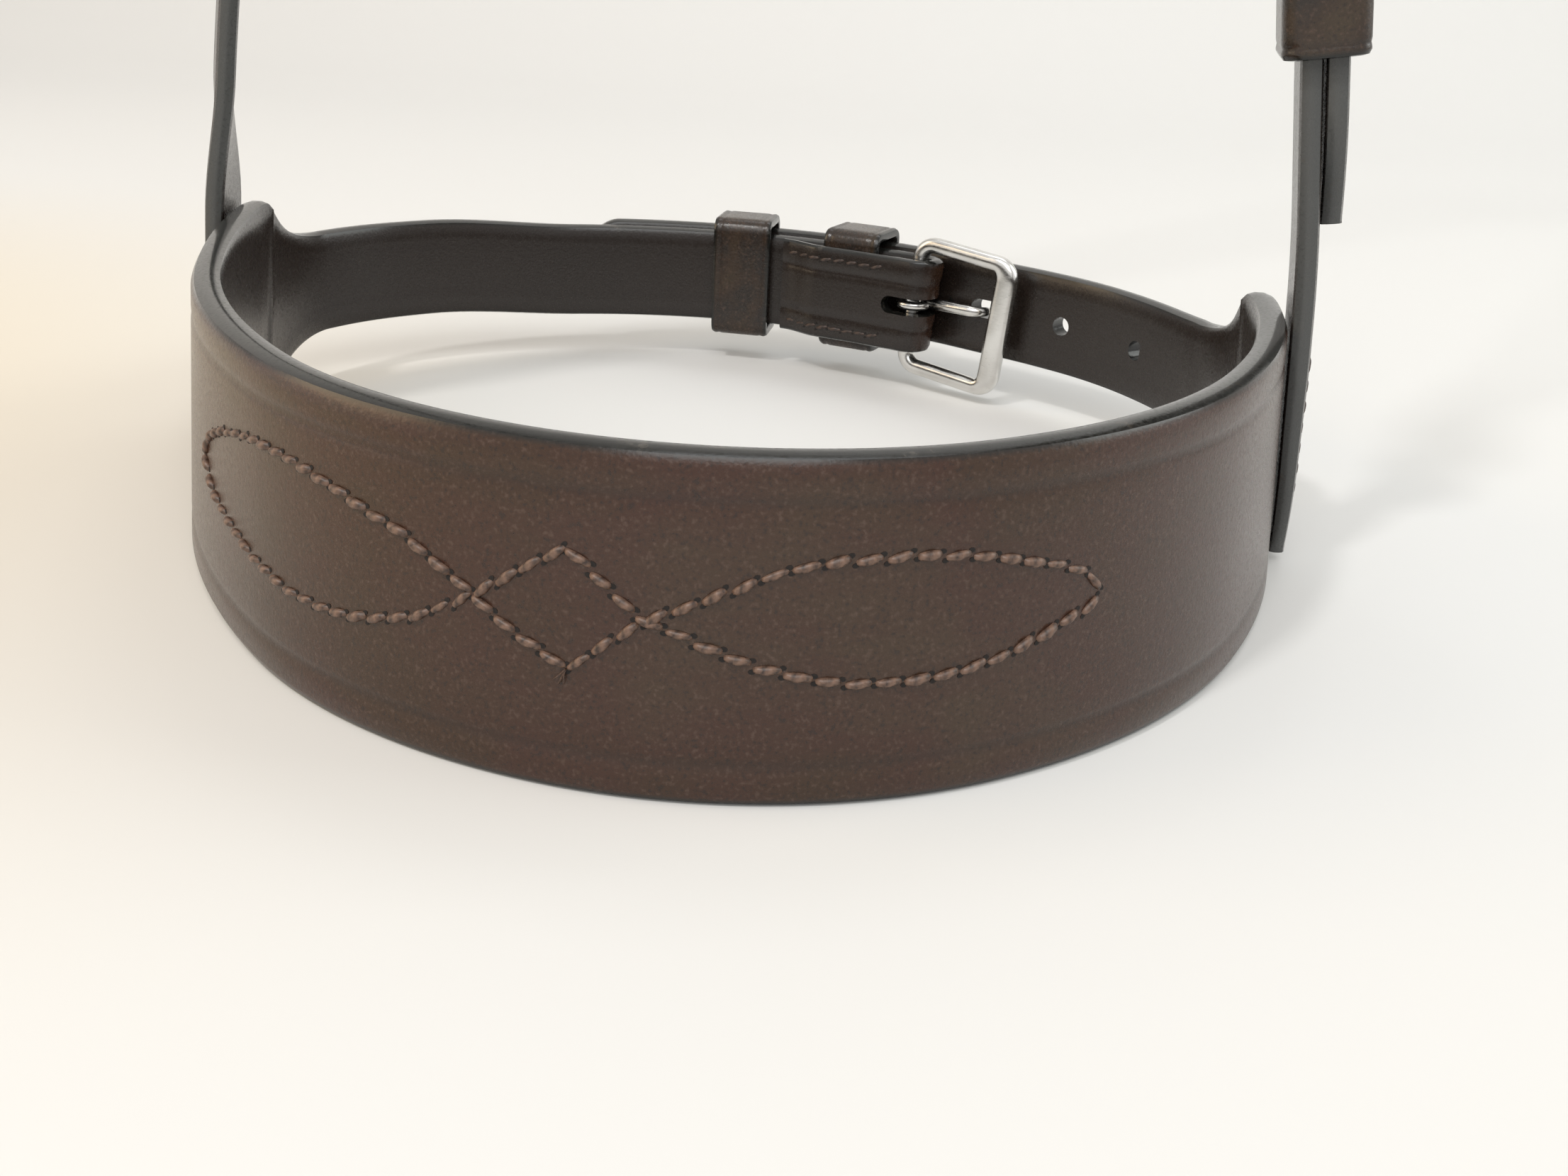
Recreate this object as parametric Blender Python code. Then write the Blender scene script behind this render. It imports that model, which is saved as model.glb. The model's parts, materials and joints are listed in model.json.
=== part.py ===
"""Hunter noseband: a broad shaped nosepiece with a curb buckle and a head strap.

Units are metres and +Z is up. The front of the nose faces -Y, and the near
side, with the cheek buckle, is at +X. Each leather piece is a flat strip that
is bent along a path of tangent arcs, as the real one is cut and then bent.
"""
import math
from dataclasses import dataclass

import bmesh
import bpy
from mathutils import Matrix, Vector

COLLECTION_NAME = "hunter_noseband"
CUTTER_COLLECTION_NAME = "cutters"

# Leather sizes
BAND_WIDTH = 0.0381
BAND_THICKNESS = 0.0042
BAND_EDGE = 0.0010
BAND_HALF_LENGTH = 0.158
SHOULDER_LENGTH = 0.025
SHOULDER_TIP_SOFTNESS = 0.0012
CURB_STRAP_WIDTH = 0.0188
CURB_STRAP_THICKNESS = 0.0038
HANGER_WIDTH = 0.0159
HANGER_THICKNESS = 0.0030
STRAP_EDGE = 0.0008
FOLD_THICKNESS = 0.0028
TURN_BACK_THICKNESS = 0.0024
SKIVED_THICKNESS = 0.0016
BILLET_POINT_LENGTH = 0.016
BILLET_POINT_HALF_WIDTH = 0.0012
BILLET_POINT_POWER = 1.8
BAND_LEAN_SHARE = 0.092

# Plan of the ring's outer face: tangent arcs either way from the front centre
FRONT_HEADING = math.radians(-11.96)
NEAR_FRONT_RADIUS = 0.0673
NEAR_FRONT_LENGTH = 0.050
NEAR_JAW_RADIUS = 0.0884
NEAR_JAW_LENGTH = 0.050
NEAR_CHEEK_RADIUS = 0.1403
NEAR_CHEEK_LENGTH = 0.050
NEAR_ARM_RADIUS = 0.0643
NEAR_ARM_LENGTH = 0.035
NEAR_REAR_RADIUS = 0.0689
NEAR_REAR_LENGTH = 0.035
OFF_FRONT_RADIUS = 0.0761
OFF_FRONT_LENGTH = 0.050
OFF_JAW_RADIUS = 0.1399
OFF_JAW_LENGTH = 0.050
OFF_CHEEK_RADIUS = 0.2752
OFF_CHEEK_LENGTH = 0.050
OFF_REAR_RADIUS = 0.0498
OFF_REAR_LENGTH = 0.050

# Level of the arms' middle against the band's, by distance the near way round
NEAR_ARM_LEVEL_FROM = 0.158
CURB_LEVEL_FROM = 0.192
CURB_LEVEL = -0.0016
CURB_LEVEL_TO = 0.328
OFF_ARM_LEVEL_TO = 0.360

# Clearances between pieces that touch on the real object
LAYER_GAP = 0.00035
KEEPER_GAP = 0.0006
BAR_GAP = 0.0004
EYE_GAP = 0.0003
CURB_WINDOW_GAP = 0.0016
NEAR_WINDOW_GAP = 0.0011

# Buckle hardware, used at the curb and at the near cheek
BAR_SIZE = 0.0030
BAR_ROUNDING = 0.0011
CURB_BUCKLE_REACH = 0.0194
NEAR_BUCKLE_REACH = 0.0175
FRONT_BAR_WIDTH = 0.0045
BUCKLE_CORNER_RADIUS = 0.0045
WINDOW_CORNER_RADIUS = 0.0018
TONGUE_RADIUS = 0.00115
TONGUE_EYE_WIRE_RADIUS = 0.0009
TONGUE_TIP_RADIUS = 0.0006
TONGUE_WRAP = math.radians(270.0)
SLOT_WIDTH = 0.0044
SLOT_BEHIND_BAR = 0.0062

# Chape, billet and keepers, as distances along the strap from the hinge bar
TURN_BACK_LENGTH = 0.031
THINNED_LENGTH = 0.012
BILLET_PAST_BAR = 0.0755
FIXED_KEEPER_AT = 0.0155
KEEPER_WIDTH = 0.012
KEEPER_WALL = 0.0019
KEEPER_CORNER_RADIUS = 0.0016
HOLE_PITCH = 0.0190
HOLE_RADIUS = 0.0018
HOLES_EACH_SIDE = 2

# Curb fastening at the rear of the ring
CURB_BAR_AT = 0.2514
CURB_RUNNER_AT = 0.0405
CURB_FRAME_SWING = math.radians(0.0)
CURB_FOLD_SKEW = math.radians(5.5)
CURB_BILLET_RAISE = 0.0006
CURB_BILLET_RISE_LENGTH = 0.056
CURB_HOLE_IN_USE_AT = 0.0125
CURB_TONGUE_STRAIGHT = 0.0112
CURB_TONGUE_BEND_RADIUS = 0.0028
CURB_TONGUE_BEND = math.radians(75.0)
CURB_TONGUE_TIP = 0.0018
CURB_HOLE_STRETCH = 0.0024

# Hangers: the near cheek strap and the sliphead that goes over the poll
NEAR_HANGER_AT = 0.141
OFF_HANGER_AT = 0.150
HANGER_FOOT_HEIGHT = 0.0018
HANGER_FOOT_LENGTH = 0.030
HANGER_FOOT_THICKNESS = 0.0022
HANGER_BEND_RADIUS = 0.250
HANGER_LEAN = math.radians(9.0)
HANGER_RISE = 0.330
OFF_SETTLE_LENGTH = 0.045
OFF_EDGE_TURN = math.radians(14.0)
OFF_EDGE_TURN_LENGTH = 0.022
OFF_UNTWIST_FROM = 0.095
OFF_UNTWIST_LENGTH = 0.190
CHEEK_LENGTH = 0.125
NEAR_RUNNER_AT = 0.0468
NEAR_FRAME_SWING = math.radians(8.0)
NEAR_BILLET_GAP = 0.0010
NEAR_WEAVE_START = 0.0030
NEAR_WEAVE_END = 0.0152
NEAR_WEAVE_RETURN = 0.0300
NEAR_HOLE_HALF_WIDTH = 0.0017
NEAR_HOLE_HALF_LENGTH = 0.0026
TONGUE_REST_GAP = 0.0003

# How finely strips, arcs and round pieces are divided
STATION_STEP = 0.0055
STRAIGHT_STEP = 0.015
FINE_STEP = 0.0019
FOLD_STEPS = 10
ROUND_SIDES = 20
CORNER_STEPS = 4
CUT_OVERRUN = 0.002
PROBE = 0.001


@dataclass
class Segment:
    """One arc of a path: where it starts, its heading, its bend and its length."""

    start: float
    origin: Vector
    heading: float
    bend: float
    length: float


@dataclass
class Station:
    """One cross-section of a strip."""

    centre: Vector
    width_axis: Vector
    thickness: float
    low: float
    high: float
    lean: float


def arc_end(origin, heading, bend, length):
    """Point and heading after a signed length along an arc."""
    if abs(bend * length) < 1e-9:
        return origin + length * Vector((math.cos(heading), math.sin(heading))), heading
    turned = heading + bend * length
    step = Vector((math.sin(turned) - math.sin(heading), math.cos(heading) - math.cos(turned)))
    return origin + step / bend, turned


class ArcPath:
    """A plane path of tangent arcs, read by its length."""

    def __init__(self):
        self.segments = []
        self.length = 0.0

    def add(self, origin, heading, bend, length):
        """Append one segment and return where it ends."""
        self.segments.append(Segment(self.length, origin.copy(), heading, bend, length))
        self.length += length
        return arc_end(origin, heading, bend, length)

    def at(self, distance, closed=False):
        """Point and heading at a distance along the path."""
        if closed:
            distance %= self.length
        chosen = self.segments[0]
        for segment in self.segments:
            if distance >= segment.start:
                chosen = segment
        return arc_end(chosen.origin, chosen.heading, chosen.bend, distance - chosen.start)

    def beside(self, distance, outward, closed=False):
        """Point at a distance along the path and an offset to its outer, right-hand side."""
        point, heading = self.at(distance, closed)
        return point + outward * Vector((math.sin(heading), -math.cos(heading)))


def smooth_step(value):
    """Ease from 0 to 1."""
    value = min(max(value, 0.0), 1.0)
    return value * value * (3.0 - 2.0 * value)


def mix(first, second, share):
    """Blend two values."""
    return first + (second - first) * share


def ramp(table, distance):
    """Read a value from a table of (distance, value) rows with eased steps."""
    if distance <= table[0][0]:
        return table[0][1]
    for (start, first), (end, second) in zip(table, table[1:]):
        if distance <= end:
            return mix(first, second, smooth_step((distance - start) / (end - start)))
    return table[-1][1]


def make_ring_path():
    """Plan of the ring, from the front centre round the near side and back."""
    near_arcs = [(NEAR_FRONT_RADIUS, NEAR_FRONT_LENGTH), (NEAR_JAW_RADIUS, NEAR_JAW_LENGTH),
                 (NEAR_CHEEK_RADIUS, NEAR_CHEEK_LENGTH), (NEAR_ARM_RADIUS, NEAR_ARM_LENGTH),
                 (NEAR_REAR_RADIUS, NEAR_REAR_LENGTH)]
    off_arcs = [(OFF_FRONT_RADIUS, OFF_FRONT_LENGTH), (OFF_JAW_RADIUS, OFF_JAW_LENGTH),
                (OFF_CHEEK_RADIUS, OFF_CHEEK_LENGTH), (OFF_REAR_RADIUS, OFF_REAR_LENGTH)]
    path = ArcPath()
    near_point, near_heading = Vector((0.0, 0.0)), FRONT_HEADING
    for radius, length in near_arcs:
        near_point, near_heading = path.add(near_point, near_heading, 1.0 / radius, length)
    off_point, off_heading = Vector((0.0, 0.0)), FRONT_HEADING
    off_segments = []
    for radius, length in off_arcs:
        off_point, off_heading = arc_end(off_point, off_heading, 1.0 / radius, -length)
        off_segments.insert(0, (off_point, off_heading, 1.0 / radius, length))
    # The rear run is one arc tangent to both cheeks, with a straight on the longer side
    turn = (off_heading - near_heading) % math.tau
    near_way = Vector((math.cos(near_heading), math.sin(near_heading)))
    off_way = Vector((math.cos(off_heading), math.sin(off_heading)))
    span = off_point - near_point
    cross = near_way.x * off_way.y - near_way.y * off_way.x
    near_tangent = (span.x * off_way.y - span.y * off_way.x) / cross
    off_tangent = (near_way.x * span.y - near_way.y * span.x) / cross
    tangent = min(near_tangent, off_tangent)
    rear_radius = tangent / math.tan(turn / 2.0)
    if near_tangent > tangent:
        near_point, near_heading = path.add(near_point, near_heading, 0.0, near_tangent - tangent)
    rear_start = path.length
    normal = Vector((-math.sin(near_heading), math.cos(near_heading)))
    rear_centre = near_point + rear_radius * normal
    near_point, near_heading = path.add(near_point, near_heading, 1.0 / rear_radius, rear_radius * turn)
    if off_tangent > tangent:
        path.add(near_point, near_heading, 0.0, off_tangent - tangent)
    for origin, heading, bend, length in off_segments:
        path.add(origin, heading, bend, length)
    return path, rear_centre, rear_start


def make_hang_path(half_span):
    """Upright path of the hangers, from the near foot over the poll to the off foot."""
    wall_lean = math.atan(BAND_LEAN_SHARE)
    foot_x = half_span + LAYER_GAP + HANGER_THICKNESS - BAND_LEAN_SHARE * HANGER_FOOT_HEIGHT
    wall_length = (BAND_WIDTH - HANGER_FOOT_HEIGHT) / math.cos(wall_lean)
    bend = 1.0 / HANGER_BEND_RADIUS
    bend_length = (HANGER_LEAN - wall_lean) * HANGER_BEND_RADIUS
    path = ArcPath()
    point, heading = Vector((foot_x, HANGER_FOOT_HEIGHT)), math.pi / 2.0 + wall_lean
    point, heading = path.add(point, heading, 0.0, wall_length)
    point, heading = path.add(point, heading, bend, bend_length)
    point, heading = path.add(point, heading, 0.0, HANGER_RISE)
    arch_radius = point.x / math.cos(HANGER_LEAN)
    arch_turn = math.pi - 2.0 * HANGER_LEAN
    point, heading = path.add(point, heading, 1.0 / arch_radius, arch_radius * arch_turn)
    point, heading = path.add(point, heading, 0.0, HANGER_RISE)
    point, heading = path.add(point, heading, bend, bend_length)
    path.add(point, heading, 0.0, wall_length)
    return path


def section_points(station, edge):
    """Rounded rectangle of a strip's section, as (outward, up) pairs."""
    half = station.thickness / 2.0
    edge = min(edge, half * 0.8, (station.high - station.low) * 0.4)
    cut = edge * (1.0 - math.sqrt(0.5))
    corners = ((1, 1), (-1, 1), (-1, -1), (1, -1))
    points = []
    for index, (side, end) in enumerate(corners):
        top = station.high if end > 0 else station.low
        row = [(side * half, top - end * edge), (side * (half - cut), top - end * cut),
               (side * (half - edge), top)]
        points.extend(row if index % 2 == 0 else row[::-1])
    return points


def make_strip(name, stations, edge, material, collection):
    """Loft a leather strip through its stations."""
    mesh_builder = bmesh.new()
    rings = []
    for index, station in enumerate(stations):
        before = stations[max(index - 1, 0)].centre
        after = stations[min(index + 1, len(stations) - 1)].centre
        along = (after - before).normalized()
        outward = along.cross(station.width_axis).normalized()
        ring = [mesh_builder.verts.new(station.centre + (across - station.lean * up) * outward
                                       + up * station.width_axis)
                for across, up in section_points(station, edge)]
        rings.append(ring)
    count = len(rings[0])
    for ring, following in zip(rings, rings[1:]):
        for index in range(count):
            other = (index + 1) % count
            mesh_builder.faces.new((ring[index], ring[other], following[other], following[index]))
    mesh_builder.faces.new(rings[0][::-1])
    mesh_builder.faces.new(rings[-1])
    mesh_builder.normal_update()
    bmesh.ops.recalc_face_normals(mesh_builder, faces=mesh_builder.faces)
    mesh = bpy.data.meshes.new(name)
    mesh_builder.to_mesh(mesh)
    mesh_builder.free()
    strip = bpy.data.objects.new(name, mesh)
    strip.data.materials.append(material)
    collection.objects.link(strip)
    return strip


def make_material(name, color, roughness, metallic):
    """Principled material with one colour."""
    material = bpy.data.materials.new(name)
    material.use_nodes = True
    shader = material.node_tree.nodes["Principled BSDF"]
    shader.inputs["Base Color"].default_value = (*color, 1.0)
    shader.inputs["Roughness"].default_value = roughness
    shader.inputs["Metallic"].default_value = metallic
    return material


def rounded_rectangle(low, high, radius):
    """Outline of a rectangle with round corners, counter-clockwise."""
    corners = ((high[0] - radius, high[1] - radius, 0), (low[0] + radius, high[1] - radius, 1),
               (low[0] + radius, low[1] + radius, 2), (high[0] - radius, low[1] + radius, 3))
    points = []
    for centre_x, centre_y, quarter in corners:
        for step in range(CORNER_STEPS + 1):
            angle = (quarter + step / CORNER_STEPS) * math.pi / 2.0
            points.append((centre_x + radius * math.cos(angle), centre_y + radius * math.sin(angle)))
    return points


def make_flat_piece(name, outlines, thickness, rounding, matrix, material, collection):
    """Flat piece from closed outlines: the first is its rim and the others are windows."""
    curve = bpy.data.curves.new(name, "CURVE")
    curve.dimensions = "2D"
    curve.fill_mode = "BOTH"
    curve.extrude = thickness / 2.0 - rounding
    curve.bevel_depth = rounding
    curve.bevel_resolution = 1
    curve.offset = -rounding
    for outline in outlines:
        spline = curve.splines.new("POLY")
        spline.points.add(len(outline) - 1)
        for point, (across, up) in zip(spline.points, outline):
            point.co = (across, up, 0.0, 1.0)
        spline.use_cyclic_u = True
    return curve_to_mesh(name, curve, matrix, material, collection)


def make_wire(name, points, radii, matrix, material, collection):
    """Round wire with closed ends through points, with a radius at each."""
    curve = bpy.data.curves.new(name, "CURVE")
    curve.dimensions = "3D"
    curve.bevel_depth = max(radii)
    curve.bevel_resolution = 3
    curve.use_fill_caps = True
    spline = curve.splines.new("POLY")
    spline.points.add(len(points) - 1)
    for target, point, radius in zip(spline.points, points, radii):
        target.co = (*point, 1.0)
        target.radius = radius / max(radii)
    return curve_to_mesh(name, curve, matrix, material, collection)


def curve_to_mesh(name, curve, matrix, material, collection):
    """Turn a curve into a closed mesh object that stands at a matrix."""
    source = bpy.data.objects.new(name + "_curve", curve)
    collection.objects.link(source)
    evaluated = source.evaluated_get(bpy.context.evaluated_depsgraph_get())
    mesh = bpy.data.meshes.new_from_object(evaluated)
    bpy.data.objects.remove(source)
    bpy.data.curves.remove(curve)
    mesh_builder = bmesh.new()
    mesh_builder.from_mesh(mesh)
    bmesh.ops.remove_doubles(mesh_builder, verts=mesh_builder.verts, dist=LAYER_GAP / 100.0)
    mesh_builder.normal_update()
    bmesh.ops.recalc_face_normals(mesh_builder, faces=mesh_builder.faces)
    mesh_builder.to_mesh(mesh)
    mesh_builder.free()
    mesh.name = name
    mesh.materials.clear()
    mesh.materials.append(material)
    piece = bpy.data.objects.new(name, mesh)
    piece.matrix_world = matrix
    collection.objects.link(piece)
    return piece


def cut(target, name, add_primitive, matrix, cutters):
    """Subtract a primitive from a piece with an exact Boolean."""
    mesh = bpy.data.meshes.new(name)
    mesh_builder = bmesh.new()
    add_primitive(mesh_builder)
    mesh_builder.transform(matrix)
    mesh_builder.normal_update()
    bmesh.ops.recalc_face_normals(mesh_builder, faces=mesh_builder.faces)
    mesh_builder.to_mesh(mesh)
    mesh_builder.free()
    cutter = bpy.data.objects.new(name, mesh)
    cutter.display_type = "WIRE"
    cutter.hide_render = True
    cutters.objects.link(cutter)
    modifier = target.modifiers.new(name, "BOOLEAN")
    modifier.operation = "DIFFERENCE"
    modifier.solver = "EXACT"
    modifier.object = cutter


class Seat:
    """Local axes at a hinge bar: along the strap past the bar, outward, and across its width."""

    def __init__(self, place, width_axis, main_sign):
        self.place = place
        self.main_sign = main_sign
        self.width_axis = width_axis.normalized()

    def axes(self, distance):
        """Way to the buckle's front and outward way, at a distance from the bar."""
        here = self.place(distance, 0.0)
        outward = (self.place(distance, PROBE) - here).normalized()
        forward = (self.place(distance - PROBE, 0.0) - self.place(distance + PROBE, 0.0)).normalized()
        return forward, outward

    def matrix(self, distance, outward_offset, columns="forward width outward"):
        """Placement with the named local axes as its X, Y and Z."""
        forward, outward = self.axes(distance)
        named = {"forward": forward, "outward": outward, "width": self.width_axis}
        first, second = (named[word] for word in columns.split()[:2])
        third = first.cross(second)
        frame = Matrix((first, second, third)).transposed().to_4x4()
        frame.translation = self.place(distance, outward_offset)
        return frame


def bar_offset():
    """Offset of a hinge bar's centre from the outer face of its chape."""
    return -(FOLD_THICKNESS + BAR_GAP + BAR_SIZE / 2.0)


def skewed_axis(seat, skew):
    """Width axis of a fold line that is out of square, with its upper end towards the front bar."""
    forward, _ = seat.axes(0.0)
    return (math.cos(skew) * seat.width_axis + math.sin(skew) * forward).normalized()


def folded_chape(seat, width, main_thickness, skew):
    """Turn-back, fold and thinned main layer of a strap that is folded round a hinge bar."""
    bar = bar_offset()
    half_width = width / 2.0
    keeper_end = FIXED_KEEPER_AT + KEEPER_WIDTH / 2.0
    under_keeper = -(main_thickness + KEEPER_GAP + KEEPER_WALL + LAYER_GAP * 2.0)
    face = ((0.0, bar - BAR_SIZE / 2.0 - BAR_GAP), (FIXED_KEEPER_AT - KEEPER_WIDTH / 2.0, under_keeper),
            (keeper_end, under_keeper), (TURN_BACK_LENGTH, -(main_thickness + LAYER_GAP)))
    body = ((0.0, FOLD_THICKNESS), (FIXED_KEEPER_AT, TURN_BACK_THICKNESS), (TURN_BACK_LENGTH, SKIVED_THICKNESS))
    stations = []
    steps = round(TURN_BACK_LENGTH / FINE_STEP)
    for step in range(steps):
        distance = TURN_BACK_LENGTH * (1.0 - step / steps)
        thickness = ramp(body, distance)
        centre = seat.place(distance, ramp(face, distance) - thickness / 2.0)
        square_share = smooth_step(distance / (FIXED_KEEPER_AT - KEEPER_WIDTH / 2.0))
        axis = skewed_axis(seat, skew * (1.0 - square_share))
        stations.append(Station(centre, axis, thickness, -half_width, half_width, 0.0))
    forward, outward = seat.axes(0.0)
    hub = seat.place(0.0, bar)
    radius = BAR_SIZE / 2.0 + BAR_GAP + FOLD_THICKNESS / 2.0
    for step in range(FOLD_STEPS + 1):
        angle = math.pi * (step / FOLD_STEPS) - math.pi / 2.0
        centre = hub + radius * (math.cos(angle) * forward + math.sin(angle) * outward)
        stations.append(Station(centre, skewed_axis(seat, skew), FOLD_THICKNESS, -half_width, half_width, 0.0))
    steps = round(THINNED_LENGTH / FINE_STEP)
    for step in range(1, steps + 1):
        distance = THINNED_LENGTH * step / steps
        thickness = ramp(((0.0, FOLD_THICKNESS), (THINNED_LENGTH, main_thickness)), distance)
        centre = seat.place(distance, -thickness / 2.0)
        axis = skewed_axis(seat, skew * (1.0 - smooth_step(distance / THINNED_LENGTH)))
        stations.append(Station(centre, axis, thickness, -half_width, half_width, 0.0))
    return stations


def point_half_width(distance_to_tip, half_width):
    """Half width of a billet near its point."""
    share = min(distance_to_tip / BILLET_POINT_LENGTH, 1.0)
    return mix(BILLET_POINT_HALF_WIDTH, half_width, 1.0 - (1.0 - share) ** BILLET_POINT_POWER)


def band_half_width(distance):
    """Half width of the nosepiece by distance from its centre: band, concave shoulder, arm."""
    arm = CURB_STRAP_WIDTH / 2.0
    band = BAND_WIDTH / 2.0
    drop = band - arm
    radius = (SHOULDER_LENGTH ** 2 + drop ** 2) / (2.0 * drop)
    left = BAND_HALF_LENGTH + SHOULDER_LENGTH - distance
    if left <= 0.0:
        return arm
    if left >= radius:
        return band
    hollow = arm + radius - math.sqrt(radius ** 2 - left ** 2)
    gap = hollow - band
    return (hollow + band - math.sqrt(gap ** 2 + SHOULDER_TIP_SOFTNESS ** 2)) / 2.0


def spaced(start, end, step):
    """Evenly spaced values from start to end, without the start."""
    count = max(1, round(abs(end - start) / step))
    return [mix(start, end, index / count) for index in range(1, count + 1)]


def path_marks(path, start, end):
    """Distances from start to end of a path, wide apart on its straights, without the start."""
    marks = []
    for segment in path.segments:
        first = max(segment.start, start)
        last = min(segment.start + segment.length, end)
        if last > first:
            step = STRAIGHT_STEP if segment.bend == 0.0 else STATION_STEP
            marks += spaced(first, last, step)
    return marks


def billet_rise(distance):
    """Share of the way from the ring's line to its place outside the chape."""
    start = CURB_BAR_AT - CURB_BUCKLE_REACH - CURB_BILLET_RISE_LENGTH
    return smooth_step((distance - start) / CURB_BILLET_RISE_LENGTH)


def curb_billet_middle(distance):
    """Offset of the curb billet's middle from the ring's line."""
    return -CURB_STRAP_THICKNESS / 2.0 + billet_rise(distance) * (CURB_STRAP_THICKNESS + LAYER_GAP)


def strap_level(distance):
    """Height of the strap's middle by distance the near way round the ring."""
    table = ((NEAR_ARM_LEVEL_FROM, 0.0), (CURB_LEVEL_FROM, CURB_LEVEL), (CURB_LEVEL_TO, CURB_LEVEL),
             (OFF_ARM_LEVEL_TO, 0.0))
    return BAND_WIDTH / 2.0 + ramp(table, distance)


def nosepiece_stations(ring, seat):
    """Sections of the nosepiece: chape arm, band with shoulders, and billet arm."""
    middle = BAND_WIDTH / 2.0
    up = Vector((0.0, 0.0, 1.0))
    stations = folded_chape(seat, CURB_STRAP_WIDTH, CURB_STRAP_THICKNESS, CURB_FOLD_SKEW)
    tip_at = CURB_BAR_AT + BILLET_PAST_BAR
    arm_from = BAND_HALF_LENGTH + SHOULDER_LENGTH
    start = CURB_BAR_AT + THINNED_LENGTH
    marks = spaced(start, ring.length - arm_from, STATION_STEP)
    marks += spaced(ring.length - arm_from, ring.length - BAND_HALF_LENGTH + SHOULDER_LENGTH / 2.0, FINE_STEP)
    marks += spaced(marks[-1], ring.length + BAND_HALF_LENGTH - SHOULDER_LENGTH / 2.0, STATION_STEP)
    marks += spaced(marks[-1], ring.length + arm_from, FINE_STEP)
    marks += spaced(marks[-1], ring.length + tip_at - BILLET_POINT_LENGTH, STATION_STEP)
    marks += spaced(marks[-1], ring.length + tip_at, FINE_STEP)
    for mark in marks:
        from_centre = abs(mark - ring.length)
        band_share = 1.0 - smooth_step((from_centre - BAND_HALF_LENGTH) / SHOULDER_LENGTH)
        lean = BAND_LEAN_SHARE * band_share
        thickness = mix(CURB_STRAP_THICKNESS, BAND_THICKNESS, band_share)
        half_width = band_half_width(from_centre)
        offset = -thickness / 2.0
        raise_by = 0.0
        if mark > ring.length + arm_from:
            distance = mark - ring.length
            offset = curb_billet_middle(distance)
            raise_by = CURB_BILLET_RAISE * billet_rise(distance)
            half_width = point_half_width(tip_at - distance, CURB_STRAP_WIDTH / 2.0)
        plan = ring.beside(mark, offset - lean * middle, closed=True)
        centre = Vector((plan.x, plan.y, strap_level(mark % ring.length) + raise_by))
        stations.append(Station(centre, up, thickness, -half_width, half_width, lean))
    return stations


def round_hole(radius, stretch, depth):
    """Adder of a round punch, drawn out along its own X by a stretch."""
    def add(mesh_builder):
        bmesh.ops.create_cone(mesh_builder, cap_ends=True, segments=ROUND_SIDES, radius1=radius,
                              radius2=radius, depth=depth)
        for vertex in mesh_builder.verts:
            vertex.co.x += math.copysign(stretch / 2.0, vertex.co.x)
    return add


def slot_block(length, depth):
    """Adder of the tongue slot's punch, rounded at the end away from the buckle."""
    def add(mesh_builder):
        bmesh.ops.create_cube(mesh_builder, size=1.0)
        bmesh.ops.scale(mesh_builder, vec=(length, SLOT_WIDTH, depth), verts=mesh_builder.verts)
        rear_edges = [edge for edge in mesh_builder.edges
                      if all(vertex.co.x < 0.0 for vertex in edge.verts)
                      and abs(edge.verts[0].co.z - edge.verts[1].co.z) > depth / 2.0]
        bmesh.ops.bevel(mesh_builder, geom=rear_edges, offset=SLOT_WIDTH * 0.45, segments=CORNER_STEPS,
                        affect="EDGES", profile=0.5)
    return add


def cut_tongue_slot(strap, name, seat, cutters):
    """Punch the slot for the tongue through both layers at the fold, short of the billet."""
    front = BAR_SIZE / 2.0 + BAR_GAP + FOLD_THICKNESS + CUT_OVERRUN
    length = SLOT_BEHIND_BAR + front
    top = LAYER_GAP / 2.0
    bottom = 2.0 * bar_offset() - CUT_OVERRUN
    matrix = seat.matrix(0.0, (top + bottom) / 2.0)
    matrix = matrix @ Matrix.Translation(((front - SLOT_BEHIND_BAR) / 2.0, 0.0, 0.0))
    cut(strap, name, slot_block(length, top - bottom), matrix, cutters)


def make_frame(name, seat, half_window, reach, swing, skew, material, collection):
    """Buckle frame: thin hinge bar, two side bars and a broad front bar."""
    outer_half = half_window + BAR_SIZE
    rim = rounded_rectangle((-BAR_SIZE / 2.0, -outer_half),
                            (reach + FRONT_BAR_WIDTH / 2.0, outer_half), BUCKLE_CORNER_RADIUS)
    window = rounded_rectangle((BAR_SIZE / 2.0, -half_window),
                               (reach - FRONT_BAR_WIDTH / 2.0, half_window), WINDOW_CORNER_RADIUS)
    matrix = seat.matrix(0.0, bar_offset()) @ Matrix.Rotation(-skew, 4, "Z") @ seat_turn(seat, swing)
    return make_flat_piece(name, [rim, window[::-1]], BAR_SIZE, BAR_ROUNDING, matrix, material, collection)


def seat_turn(seat, swing):
    """Turn about the hinge bar, outward for a positive swing."""
    forward, outward = seat.axes(0.0)
    sense = forward.cross(seat.width_axis).dot(outward)
    return Matrix.Rotation(-math.copysign(1.0, sense) * swing, 4, "Y")


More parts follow.
